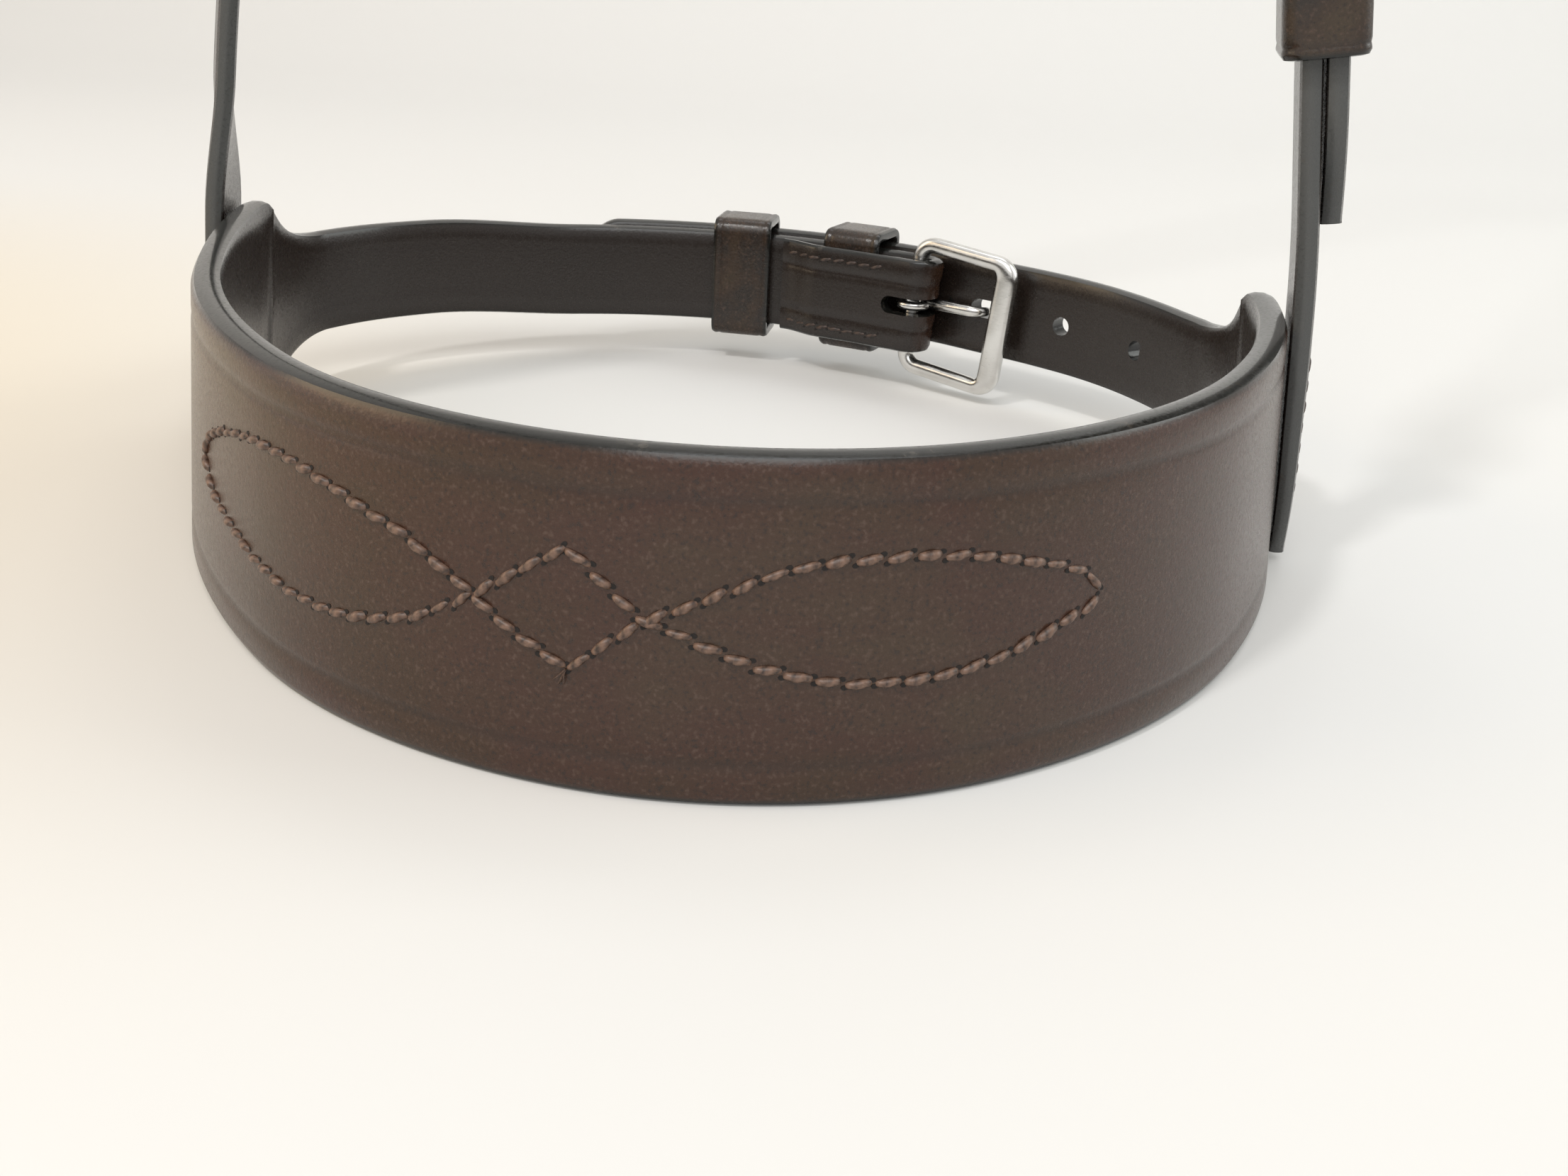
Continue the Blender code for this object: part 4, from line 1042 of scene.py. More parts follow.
def folded_chape(seat: Seat, buckle: BuckleSizes, width: float, main: float,
                 skew: float) -> list[Station]:
    """Turn-back, fold and thinned main layer of a strap folded round a hinge bar.

    Args:
        seat: the hinge bar's axes.
        buckle: the buckle's sizes.
        width: the strap's width.
        main: the main layer's thickness.
        skew: how far the fold line is out of square.

    Returns:
        The stations, with strap distances that are 0 at the end of the turn-back.
    """
    half = width / 2.0
    face, body = turn_back_layers(buckle, main)
    keeper_start = KEEPER.fixed_at - KEEPER.width / 2.0
    stations = []
    steps = round(LEATHER.turn_back_length / SPACING.fold)
    for step in range(steps):
        distance = LEATHER.turn_back_length * (1.0 - step / steps)
        thickness = ramp(body, distance)
        centre = seat.place(distance, ramp(face, distance) - thickness / 2.0)
        axis = seat.skewed_axis(skew * (1.0 - smooth_step(distance / keeper_start)))
        stations.append(Station(centre, axis, thickness, half, LEATHER.turn_back_length - distance))
    forward, outward = seat.axes(0.0)
    hub = seat.place(0.0, bar_offset(buckle))
    radius = buckle.bar / 2.0 + GAPS.bar + LEATHER.fold_thickness / 2.0
    run = LEATHER.turn_back_length
    folds = 20
    for step in range(folds + 1):
        angle = math.pi * (step / folds) - math.pi / 2.0
        centre = hub + radius * (math.cos(angle) * forward + math.sin(angle) * outward)
        stations.append(Station(centre, seat.skewed_axis(skew), LEATHER.fold_thickness, half,
                                run + radius * math.pi * step / folds))
    run += radius * math.pi
    steps = round(LEATHER.thinned_length / SPACING.fold)
    for step in range(1, steps + 1):
        distance = LEATHER.thinned_length * step / steps
        thickness = ramp(((0.0, LEATHER.fold_thickness), (LEATHER.thinned_length, main)), distance)
        axis = seat.skewed_axis(skew * (1.0 - smooth_step(distance / LEATHER.thinned_length)))
        centre = seat.place(distance, -thickness / 2.0)
        stations.append(Station(centre, axis, thickness, half, run + distance))
    return stations


def punch_tongue_slot(piece: bpy.types.Object, seat: Seat, buckle: BuckleSizes) -> None:
    """Punch the slot for the tongue through both layers at the fold, short of the billet."""
    front = buckle.bar / 2.0 + GAPS.bar + LEATHER.fold_thickness + CURB.slot_past_fold
    top = GAPS.layer / 2.0
    bottom = 2.0 * bar_offset(buckle) - CURB.slot_past_fold
    matrix = seat.matrix(0.0, (top + bottom) / 2.0)
    matrix = matrix @ Matrix.Translation(((front - CURB.slot_behind) / 2.0, 0.0, 0.0))
    punch(piece, matrix, (CURB.slot_behind + front) / 2.0, CURB.slot_half_width, top - bottom)


@dataclass
class Nosepiece:
    """The broad band with its concave shoulders, chape arm and billet arm, cut in one piece."""

    lay: NosebandLay

    def half_width(self, from_centre: float) -> float:
        """Half width by distance from the band's middle."""
        arm, band = LEATHER.arm_width / 2.0, LEATHER.band_width / 2.0
        drop = band - arm
        radius = (LEATHER.shoulder_length ** 2 + drop ** 2) / (2.0 * drop)
        left = LEATHER.band_half_length + LEATHER.shoulder_length - from_centre
        if left <= 0.0:
            return arm
        if left >= radius:
            return band
        hollow = arm + radius - math.sqrt(radius ** 2 - left ** 2)
        gap = hollow - band
        return (hollow + band - math.sqrt(gap ** 2 + LEATHER.shoulder_softness ** 2)) / 2.0

    def stations(self) -> list[Station]:
        """Cross-sections from the turn-back round to the billet's point."""
        lay, ring = self.lay, self.lay.ring
        up = Vector((0.0, 0.0, 1.0))
        stations = folded_chape(lay.curb_seat, CURB_BUCKLE, LEATHER.arm_width,
                                LEATHER.arm_thickness, CURB.fold_skew)
        run = stations[-1].distance
        tip_at = CURB.bar_at + LEATHER.billet_past_bar
        arm_from = LEATHER.band_half_length + LEATHER.shoulder_length
        start = CURB.bar_at + LEATHER.thinned_length
        band_end = LEATHER.band_half_length - SPACING.shoulder_overlap
        marks = [start]
        for end, step in ((-arm_from, SPACING.arm), (-band_end, SPACING.shoulder),
                          (band_end, SPACING.band), (arm_from, SPACING.shoulder),
                          (tip_at - LEATHER.point_length, SPACING.arm), (tip_at, SPACING.point)):
            marks += spaced(marks[-1], ring.length + end, step)
        for mark in marks[1:]:
            from_centre = abs(mark - ring.length)
            past_band = from_centre - LEATHER.band_half_length
            share = 1.0 - smooth_step(past_band / LEATHER.shoulder_length)
            lean = LEATHER.lean_share * share
            thickness = mix(LEATHER.arm_thickness, LEATHER.band_thickness, share)
            half_width = self.half_width(from_centre)
            offset, raised = -thickness / 2.0, 0.0
            if mark > ring.length + arm_from:
                distance = mark - ring.length
                offset = lay.billet_middle(distance)
                raised = CURB.billet_raise * lay.billet_rise(distance)
                half_width = point_half_width(
                    tip_at - distance, LEATHER.arm_width / 2.0, LEATHER.arm_point_length,
                    LEATHER.arm_point_half_width)
            centre = lay.on_ring(mark, offset - lean * LEATHER.band_width / 2.0,
                                 lay.level(mark) + raised)
            # The band is bent at its ends, which leaves a ridge across the flesh side
            ridge = LEATHER.ridge_height * math.exp(-(past_band / LEATHER.ridge_spread) ** 2)
            stations.append(Station(centre, up, thickness, half_width, run + mark - start, lean,
                                    ridge))
        return stations

    def build(self, leather: bpy.types.Material) -> bpy.types.Object:
        """Make the strap, punch its slot and its holes, and dress it."""
        piece = strap("nosepiece_strap", self.stations(), StrapProfile())
        seat = self.lay.curb_seat
        punch_tongue_slot(piece, seat, CURB_BUCKLE)
        for index in range(-2, 3):
            distance = index * CURB.hole_pitch - CURB.hole_at
            stretch = CURB.hole_stretch if index == 0 else 0.0
            at = CURB.bar_at + distance
            matrix = seat.matrix(distance - stretch / 2.0, self.lay.billet_middle(at))
            matrix.translation.z += CURB.billet_raise * self.lay.billet_rise(at)
            punch(piece, matrix, CURB.hole_radius + stretch / 2.0, CURB.hole_radius,
                  LEATHER.arm_thickness + GAPS.layer)
        shade(piece)
        return enlist(piece, leather, "noseband", "nosepiece", Slot.BRIDLE)


@dataclass
class CheekStrap:
    """Short strap sewn outside the band, folded round the near buckle."""

    lay: NosebandLay

    def build(self, leather: bpy.types.Material) -> bpy.types.Object:
        """Make the strap with its skived foot and dress it."""
        seat = self.lay.near_seat
        half = LEATHER.hanger_width / 2.0
        stations = folded_chape(seat, NEAR_BUCKLE, LEATHER.hanger_width,
                                LEATHER.hanger_thickness, 0.0)
        run = stations[-1].distance - LEATHER.thinned_length
        length = HANG.cheek_length
        marks = spaced(LEATHER.thinned_length, length - LEATHER.point_length, SPACING.arm)
        marks += spaced(marks[-1], length, SPACING.point)
        for distance in marks:
            thickness = foot_thickness(length - distance)
            centre = seat.place(distance, thickness / 2.0 - LEATHER.hanger_thickness)
            stations.append(Station(centre, seat.width_axis, thickness,
                                    point_half_width(length - distance, half), run + distance))
        piece = strap("near_cheek_strap_leather", stations, HANGER_PROFILE)
        punch_tongue_slot(piece, seat, NEAR_BUCKLE)
        shade(piece)
        return enlist(piece, leather, "noseband", "near_cheek_strap", Slot.BRIDLE)


@dataclass
class Sliphead:
    """The head strap, from its point on the near side over the poll to its foot on the off side."""

    lay: NosebandLay

    def stations(self) -> list[Station]:
        """Cross-sections from the billet's point to the off foot."""
        lay, hang = self.lay, self.lay.hang
        half = LEATHER.hanger_width / 2.0
        tip_at = HANG.cheek_length - LEATHER.billet_past_bar
        weave_end = (HANG.cheek_length + NEAR_BUCKLE.reach + NEAR_BUCKLE.front_width / 2.0
                     + HANG.weave_return)
        untwist_to = hang.length - HANG.off_untwist_from
        untwist_from = untwist_to - HANG.off_untwist_length
        wall_top = hang.length - (LEATHER.band_width - HANG.foot_height)
        wall_angle = lay.off_heading + math.pi
        edge_angle = wall_angle + HANG.off_edge_turn
        common = math.atan2(lay.hang_width_axis.y, lay.hang_width_axis.x)
        turns = ((untwist_from, common), (untwist_to, edge_angle),
                 (wall_top - HANG.off_edge_turn_length, edge_angle), (wall_top, wall_angle))
        wall_outward = Vector((math.sin(lay.off_heading), -math.cos(lay.off_heading), 0.0))
        wall_point = Vector((lay.off_base.x, lay.off_base.y, 0.0)) + lay.shift
        marks = [tip_at]
        for end, step in ((tip_at + LEATHER.point_length, SPACING.point),
                          (weave_end, SPACING.weave),
                          (hang.length - LEATHER.point_length, SPACING.hanger),
                          (hang.length, SPACING.point)):
            marks += spaced(marks[-1], end, step)
        stations = []
        for mark in marks:
            reach = point_half_width(min(mark - tip_at, hang.length - mark), half)
            thickness = foot_thickness(hang.length - mark)
            offset = thickness / 2.0 - LEATHER.hanger_thickness
            if mark < weave_end:
                offset = lay.near_weave(mark - HANG.cheek_length)
            centre = lay.on_hang(hang.beside(mark, offset))
            settle = smooth_step((mark - wall_top + HANG.off_settle) / HANG.off_settle)
            angle = ramp(turns, mark)
            # Turned back to front, so that the strap's grain side is its outer one
            axis = -Vector((math.cos(angle), math.sin(angle), 0.0))
            out = GAPS.layer + thickness / 2.0 - LEATHER.lean_share * centre.z
            on_wall = wall_point + wall_outward * out
            on_wall.z = centre.z
            centre = mix(centre, on_wall, settle)
            stations.append(Station(centre, axis, thickness, reach, mark - tip_at))
        return stations

    def build(self, leather: bpy.types.Material) -> bpy.types.Object:
        """Make the strap, punch its holes and dress it."""
        piece = strap("sliphead_leather", self.stations(), HANGER_PROFILE)
        seat = self.lay.near_seat
        eye = NEAR_BUCKLE.bar / 2.0 + GAPS.eye + NEAR_BUCKLE.eye_wire
        slope = near_tongue_slope()
        crossing = HANG.weave_start
        while self.lay.near_weave(crossing) > bar_offset(NEAR_BUCKLE) + eye + slope * crossing:
            crossing += 0.1 * MM
        matrix = seat.matrix(0.0, bar_offset(NEAR_BUCKLE) + eye + slope * crossing)
        matrix = matrix @ Matrix.Translation((crossing, 0.0, 0.0))
        matrix = matrix @ Matrix.Rotation(math.pi / 2.0 - seat.sense() * math.atan(slope), 4, "Y")
        punch(piece, matrix, HANG.hole_half_length, HANG.hole_half_width,
              4.0 * LEATHER.hanger_thickness)
        depth = LEATHER.hanger_thickness + GAPS.layer
        for index in (1, 2):
            reach = index * CURB.hole_pitch
            below = seat.matrix(reach - crossing, GAPS.layer + LEATHER.hanger_thickness / 2.0)
            punch(piece, below, CURB.hole_radius, CURB.hole_radius, depth)
            above = seat.matrix(-(crossing + reach), self.lay.near_weave(crossing + reach))
            punch(piece, above, CURB.hole_radius, CURB.hole_radius, 2.0 * depth)
        shade(piece)
        return enlist(piece, leather, "noseband", "sliphead", Slot.BRIDLE)


@dataclass
class Keeper:
    """A leather loop round a main layer and a billet."""

    name: str
    seat: Seat
    at: float
    width: float
    main: float
    raised: float = 0.0

    def build(self, leather: bpy.types.Material, body: str, node: str) -> bpy.types.Object:
        """Make the loop with rubbed edges and a crease by each edge, and dress it."""
        wall = KEEPER.wall
        low = -(self.main + GAPS.keeper) - wall / 2.0
        high = GAPS.layer + self.main + GAPS.keeper + wall / 2.0
        bottom = -self.width / 2.0 - GAPS.keeper - wall / 2.0
        top = self.width / 2.0 + self.raised + GAPS.keeper + wall / 2.0
        path = rounded_path(low, high, bottom, top, KEEPER.corner * 1.05, 6, (0.2, 0.4, 0.6, 0.8))
        forward, outward = self.seat.axes(self.at)
        width = self.seat.width_axis
        origin = self.seat.place(self.at, 0.0)
        section = KEEPER_PROFILE.points(KEEPER.width / 2.0, wall)
        section.append(section[0])
        rows, flat, skin = [], [], []
        run, last = 0.0, path[0]
        for a, b, angle in path + path[:1]:
            run += math.hypot(a - last[0], b - last[1])
            last = (a, b)
            normal = math.cos(angle) * outward + math.sin(angle) * width
            centre = origin + a * outward + b * width
            rows.append([tuple(centre + across * normal + up * forward)
                         for across, up, _, _ in section])
            flat.append([(run, up) for _, up, _, _ in section])
            skin.append([(edge, side) for _, _, edge, side in section])
        maps = {"flat": np.array(flat), "skin": np.array(skin)}
        piece = bent_grid(self.name, np.array(rows), maps, around=True, along=True, caps=False)
        shade(piece)
        return enlist(piece, leather, body, node, Slot.KEEPER)


# ---------------------------------------------------------------- metal pieces


def near_tongue_slope() -> float:
    """Rise of the near tongue for each metre along, from its eye to the front bar's outer face."""
    eye = NEAR_BUCKLE.bar / 2.0 + GAPS.eye + NEAR_BUCKLE.eye_wire
    swing = HANG.frame_swing
    front = NEAR_BUCKLE.reach * math.sin(swing) + NEAR_BUCKLE.bar / 2.0 / math.cos(swing)
    return (front + HANG.tongue_rest + NEAR_BUCKLE.tongue_radius - eye) / NEAR_BUCKLE.reach


@dataclass
class BuckleFrame:
    """Cast frame: a thin hinge bar, two side bars and a broader, flatter front bar."""

    name: str
    seat: Seat
    sizes: BuckleSizes
    swing: float
    skew: float

    def build(self, metal: bpy.types.Material, body: str, node: str) -> bpy.types.Object:
        """Sweep the bar round the frame and dress it."""
        sizes = self.sizes
        half = sizes.half_window + sizes.bar / 2.0
        radius = sizes.corner - sizes.bar / 2.0
        places = rounded_path(0.0, sizes.reach, -half, half, radius, 8, (0.15, 0.3, 0.5, 0.7, 0.85))
        matrix = self.seat.matrix(0.0, bar_offset(sizes)) @ Matrix.Rotation(-self.skew, 4, "Z")
        matrix = matrix @ Matrix.Rotation(-self.seat.sense() * self.swing, 4, "Y")
        turn = matrix.to_3x3()
        thick = turn @ Vector((0.0, 0.0, 1.0))
        centres, firsts, seconds, sections = [], [], [], []
        for x, y, angle in places:
            way = Vector((math.cos(angle), math.sin(angle), 0.0))
            front = smooth_step((x - (sizes.reach - 1.5 * radius)) / (1.5 * radius))
            front *= max(way.x, 0.0)
            broad = mix(sizes.bar, sizes.front_width, front) / 2.0
            centres.append(matrix @ Vector((x, y, 0.0)))
            firsts.append(turn @ way)
            seconds.append(thick)
            thin = sizes.bar / 2.0 * mix(1.0, 0.97, front)
            sections.append(rounded_section(broad, thin, 2.6, 20))
        piece = swept(self.name, centres, firsts, seconds, sections, closed=True)
        shade(piece, 60.0)
        return enlist(piece, metal, body, node, Slot.METAL)


@dataclass
class BuckleTongue:
    """Wire tongue with its eye wrapped round the hinge bar."""

    name: str
    seat: Seat
    sizes: BuckleSizes
    prong: list[tuple[float, float, float]]

    def build(self, metal: bpy.types.Material, body: str, node: str) -> bpy.types.Object:
        """Sweep the wire and dress it."""
        sizes = self.sizes
        eye = sizes.bar / 2.0 + GAPS.eye + sizes.eye_wire
        sense = self.seat.sense()
        line = []
        steps = 28
        for step in range(steps):
            angle = math.pi / 2.0 + sizes.wrap * (1.0 - step / steps)
            line.append((eye * math.cos(angle), sense * eye * math.sin(angle), sizes.eye_wire))
        fine = []
        for (a0, b0, r0), (a1, b1, r1) in zip(self.prong, self.prong[1:]):
            for step in range(3):
                share = step / 3.0
                fine.append((mix(a0, a1, share), mix(b0, b1, share), mix(r0, r1, share)))
        fine.append(self.prong[-1])
        line += [(along, sense * (eye + out), radius) for along, out, radius in fine]
        last, before = line[-1], line[-2]
        way = Vector((last[0] - before[0], last[1] - before[1])).normalized()
        for share, shrink in ((0.5, 0.86), (0.85, 0.5), (1.0, 0.08)):
            line.append((last[0] + way.x * last[2] * share, last[1] + way.y * last[2] * share,
                         last[2] * shrink))
        matrix = self.seat.matrix(0.0, bar_offset(sizes))
        turn = matrix.to_3x3()
        centres, firsts, seconds, sections = [], [], [], []
        for index, (x, z, radius) in enumerate(line):
            before, after = line[max(index - 1, 0)], line[min(index + 1, len(line) - 1)]
            way = Vector((after[0] - before[0], 0.0, after[1] - before[1])).normalized()
            side = Vector((0.0, 1.0, 0.0))
            centres.append(matrix @ Vector((x, 0.0, z)))
            firsts.append(turn @ side)
            seconds.append(turn @ way.cross(side))
            sections.append(rounded_section(radius, radius, 2.2, 14))
        piece = swept(self.name, centres, firsts, seconds, sections, closed=False)
        shade(piece, 60.0)
        return enlist(piece, metal, body, node, Slot.METAL)


def curb_prong() -> list[tuple[float, float, float]]:
    """Prong that lies beside the billet and then bends out into the hole in use."""
    sizes = CURB_BUCKLE
    points = [(0.0, 0.0, sizes.eye_wire), (CURB.tongue_straight * 0.3, 0.0, sizes.tongue_radius),
              (CURB.tongue_straight, 0.0, sizes.tongue_radius)]
    for step in range(1, 9):
        angle = CURB.tongue_bend * step / 8.0
        radius = mix(sizes.tongue_radius, sizes.eye_wire, step / 8.0)
        points.append((CURB.tongue_straight + CURB.tongue_bend_radius * math.sin(angle),
                       CURB.tongue_bend_radius * (1.0 - math.cos(angle)), radius))
    along, out, _ = points[-1]
    tip = CURB.tongue_tip - sizes.tip_radius
    points.append((along + tip * math.cos(CURB.tongue_bend), out + tip * math.sin(CURB.tongue_bend),
                   sizes.tip_radius))
    return points


def near_prong() -> list[tuple[float, float, float]]:
    """Straight prong that rests on the outer face of the frame's front bar."""
    sizes = NEAR_BUCKLE
    slope = near_tongue_slope()
    tip = sizes.reach + sizes.front_width / 2.0 - sizes.tip_radius
    rows = ((0.0, sizes.eye_wire), (tip * 0.2, sizes.tongue_radius),
            (tip * 0.85, sizes.tongue_radius), (tip * 0.96, sizes.eye_wire),
            (tip, sizes.tip_radius))
    return [(along, along * slope, radius) for along, radius in rows]


# ---------------------------------------------------------------- stitching


@dataclass
class StitchRow:
    """A row of hand stitches along points on a leather face."""

    pitch: float = 3.2 * MM
    thread_radius: float = 0.46 * MM
    slant: float = math.radians(10.0)
    fill: float = 1.0
    bury: float = 0.20 * MM
    hole: float = 0.33 * MM

    def spots(self, points: list[Vector]) -> list[tuple[Vector, Vector]]:
        """Middles and directions of stitches along a line of points."""
        lengths = [0.0]
        for first, second in zip(points, points[1:]):
            lengths.append(lengths[-1] + (second - first).length)
        count = max(1, round(lengths[-1] / self.pitch))
        spots = []
        for index in range(count):
            target = (index + 0.5) / count * lengths[-1]
            where = max(place for place, length in enumerate(lengths) if length <= target)
            where = min(where, len(points) - 2)
            share = (target - lengths[where]) / max(lengths[where + 1] - lengths[where], 1e-9)
            spots.append((mix(points[where], points[where + 1], share),
                          (points[where + 1] - points[where]).normalized()))
        return spots


@dataclass(frozen=True)
class SeamPlaces:
    """Where the straps' seams run: in from the edge, and along a foot or a turn-back."""

    inset: float = 2.4 * MM
    foot_from: float = 33.0 * MM
    foot_to: float = 10.5 * MM
    chape_from: float = 4.5 * MM
    chape_short: float = 1.2 * MM
    step: float = 1.0 * MM


SEAM = SeamPlaces()
SeamLine = tuple[list[Vector], Callable[[Vector], Vector]]


def tube_faces(base: int, rings: int, sides: int) -> list[tuple[int, ...]]:
    """Faces of a closed tube: its sides, then its first and its last end.

    Args:
        base: the first vertex.
        rings: rings of vertices along the tube.
        sides: vertices in each ring.

    Returns:
        The vertices of each face.
    """
    faces = []
    for ring in range(rings - 1):
        for side in range(sides):
            low = base + ring * sides + side
            high = base + ring * sides + (side + 1) % sides
            faces.append((low, high, high + sides, low + sides))
    last = base + (rings - 1) * sides
    faces.append(tuple(range(base, base + sides))[::-1])
    faces.append(tuple(range(last, last + sides)))
    return faces


@dataclass
class Stitcher:
    """Makes stitches and awl holes on leather faces, joined as one piece for each row set."""

    thread: bpy.types.Material
    prick: bpy.types.Material

    def sew(self, name: str, row: StitchRow, lines: list[SeamLine], body: str,
            jitter: int = 7) -> None:
        """Lay stitches on faces.

        Args:
            name: the piece's name.
            row: the stitch sizes.
            lines: point lines, each with a function from a point to the face's outward normal.
            body: the body that the leather rides on.
            jitter: seed of the hand's unevenness.
        """
        random = np.random.default_rng(jitter)
        stitches, holes = [], []
        for points, normal_at in lines:
            for middle, way in row.spots(points):
                normal = normal_at(middle)
                way = (way - way.dot(normal) * normal).normalized()
                side = normal.cross(way)
                turn = row.slant + random.normal(0.0, 0.07)
                along = (math.cos(turn) * way + math.sin(turn) * side).normalized()
                across = normal.cross(along)
                half = row.pitch * row.fill / 2.0 * (1.0 + random.normal(0.0, 0.05))
                swell = row.thread_radius * (1.0 + random.normal(0.0, 0.08))
                middle = middle + random.normal(0.0, 0.06 * MM) * side
                stitches.append((middle, along, across, normal, half, swell, row.bury))
                reach = along * half * 0.97 + 0.22 * MM * across
                for spot in (middle + reach, middle - reach):
                    holes.append((spot, along, across, normal, row.hole))
        self._threads(name, stitches, body)
        self._holes(name + "_holes", holes, body)

    def fray(self, name: str, fibres: list[list[Vector]], body: str) -> None:
        """Make a cut thread's loose fibres, as fine tapered strands.

        Args:
            name: the piece's name.
            fibres: the points along each fibre.
            body: the body that the leather rides on.
        """
        vertices, faces, sides = [], [], 5
        for points in fibres:
            faces += tube_faces(len(vertices), len(points), sides)
            for index, point in enumerate(points):
                way = points[min(index + 1, len(points) - 1)] - points[max(index - 1, 0)]
                way.normalize()
                first = way.orthogonal().normalized()
                second = way.cross(first)
                radius = mix(0.11 * MM, 0.03 * MM, index / (len(points) - 1))
                for side in range(sides):
                    angle = math.tau * side / sides
                    out = math.cos(angle) * first + math.sin(angle) * second
                    vertices.append(tuple(point + radius * out))
        self._piece(name, vertices, faces, [], self.thread, body)

    def _threads(self, name: str, stitches: list, body: str) -> None:
        """Make the threads: plump twisted stitches, which dive at both ends."""
        rings = ((-1.0, 0.50, -0.7), (-0.90, 0.72, -0.1), (-0.72, 0.90, 0.35), (-0.48, 1.0, 0.62),
                 (-0.24, 1.04, 0.74), (0.0, 1.06, 0.78), (0.24, 1.04, 0.74), (0.48, 1.0, 0.62),
                 (0.72, 0.90, 0.35), (0.90, 0.72, -0.1), (1.0, 0.50, -0.7))
        sides = 10
        vertices, faces, maps = [], [], []
        for middle, along, across, normal, half, radius, bury in stitches:
            faces += tube_faces(len(vertices), len(rings), sides)
            for place, swell, lift in rings:
                centre = middle + place * half * along + (lift * radius - bury) * normal
                for side in range(sides):
                    angle = math.tau * side / sides
                    # Two twisted plies show as two lobes that turn along the stitch
                    waist = 0.90 + 0.20 * abs(math.cos(angle - place * half / (0.62 * MM)))
                    out = math.cos(angle) * across + math.sin(angle) * normal
                    vertices.append(tuple(centre + radius * swell * waist * out))
            for first, second in zip(rings, rings[1:]):
                low, high = (first[0] + 1.0) * half, (second[0] + 1.0) * half
                for side in range(sides):
                    turn, turned = side / sides, (side + 1) / sides
                    maps += [(low, turn), (low, turned), (high, turned), (high, turn)]
            maps += [(0.0, 0.0)] * (2 * sides)
        self._piece(name, vertices, faces, maps, self.thread, body)

    def _holes(self, name: str, holes: list, body: str) -> None:
        """Make the awl holes: small dark slanting spots, just proud of the face, as painted shade
        in place of real holes.
        """
        rings = ((-0.10 * MM, 1.0), (0.035 * MM, 1.0), (0.045 * MM, 0.55))
        vertices, faces, sides = [], [], 8
        for middle, along, across, normal, size in holes:
            faces += tube_faces(len(vertices), len(rings), sides)
            for lift, grow in rings:
                for side in range(sides):
                    angle = math.tau * side / sides
                    out = 1.25 * math.cos(angle) * along + 0.85 * math.sin(angle) * across
                    vertices.append(tuple(middle + lift * normal + grow * size * out))
        self._piece(name, vertices, faces, [], self.prick, body)

    def _piece(self, name: str, vertices: list, faces: list, maps: list,
               material: bpy.types.Material, body: str) -> None:
        """Put the gathered faces into one piece."""
        mesh = bpy.data.meshes.new(name)
        mesh.from_pydata(vertices, [], faces)
        layer = mesh.uv_layers.new(name="flat")
        if maps:
            layer.data.foreach_set("uv", np.array(maps).reshape(-1))
        piece = bpy.data.objects.new(name, mesh)
        bpy.context.scene.collection.objects.link(piece)
        make_only(piece)
        bpy.ops.object.mode_set(mode="EDIT")
        bpy.ops.mesh.select_all(action="SELECT")
        bpy.ops.mesh.normals_make_consistent(inside=False)
        bpy.ops.object.mode_set(mode="OBJECT")
        shade(piece, 50.0)
        enlist(piece, material, body)


@dataclass(frozen=True)
class FancyPattern:
    """The band's stitched figure in the flat: two leaves that cross into a diamond (mm)."""

    top: tuple = (
        (-71.1, 20.1), (-68.0, 22.9), (-64.0, 24.7), (-59.1, 26.2), (-50.0, 28.0), (-41.4, 28.4),
        (-33.0, 27.8), (-25.6, 26.4), (-18.6, 24.6), (-13.4, 22.0), (-10.0, 20.2), (-5.0, 17.2),
        (1.2, 14.1), (5.6, 17.2), (9.8, 20.2), (16.0, 23.0), (21.0, 25.1), (26.5, 26.7),
        (32.4, 27.4), (39.8, 27.5), (47.5, 26.6), (55.6, 24.7), (60.6, 22.9), (62.4, 21.6),
        (63.1, 20.0))
    bottom: tuple = (
        (-71.1, 20.1), (-68.6, 18.0), (-64.8, 16.4), (-59.0, 15.2), (-53.6, 14.4), (-46.4, 13.4),
        (-38.4, 12.8), (-30.6, 13.1), (-24.2, 14.2), (-18.4, 15.8), (-13.0, 18.5), (-10.0, 20.2),
        (-4.6, 23.6), (0.9, 27.2), (5.4, 23.6), (9.8, 20.2),
        (13.7, 18.9), (17.9, 17.3), (22.9, 15.7), (28.8, 14.4), (33.9, 13.9), (41.1, 14.1),
        (47.8, 14.9), (54.0, 16.4), (59.6, 18.1), (62.2, 18.9), (63.1, 20.0))

    def runs(self) -> list[list[tuple[float, float]]]:
        """Four thread runs as dense, eased lines, which meet at the diamond's corners."""
        runs = []
        for line, corner in ((self.top, (1.2, 14.1)), (self.bottom, (0.9, 27.2))):
            middle = line.index(corner)
            runs += [self._dense(line[:middle + 1]), self._dense(line[middle:])]
        return runs

    @staticmethod
    def _dense(points: tuple) -> list[tuple[float, float]]:
        """Spline points every half millimetre or so, with the corners kept."""
        dense, steps = [], 10
        for index in range(len(points) - 1):
            p0 = points[max(index - 1, 0)]
            p1, p2 = points[index], points[index + 1]
            p3 = points[min(index + 2, len(points) - 1)]
            for step in range(steps):
                t = step / steps
                dense.append(tuple(0.5 * (
                    2.0 * p1[k] + (p2[k] - p0[k]) * t
                    + (2.0 * p0[k] - 5.0 * p1[k] + 4.0 * p2[k] - p3[k]) * t * t
                    + (3.0 * p1[k] - p0[k] - 3.0 * p2[k] + p3[k]) * t ** 3) for k in (0, 1)))
        dense.append(points[-1])
        return dense


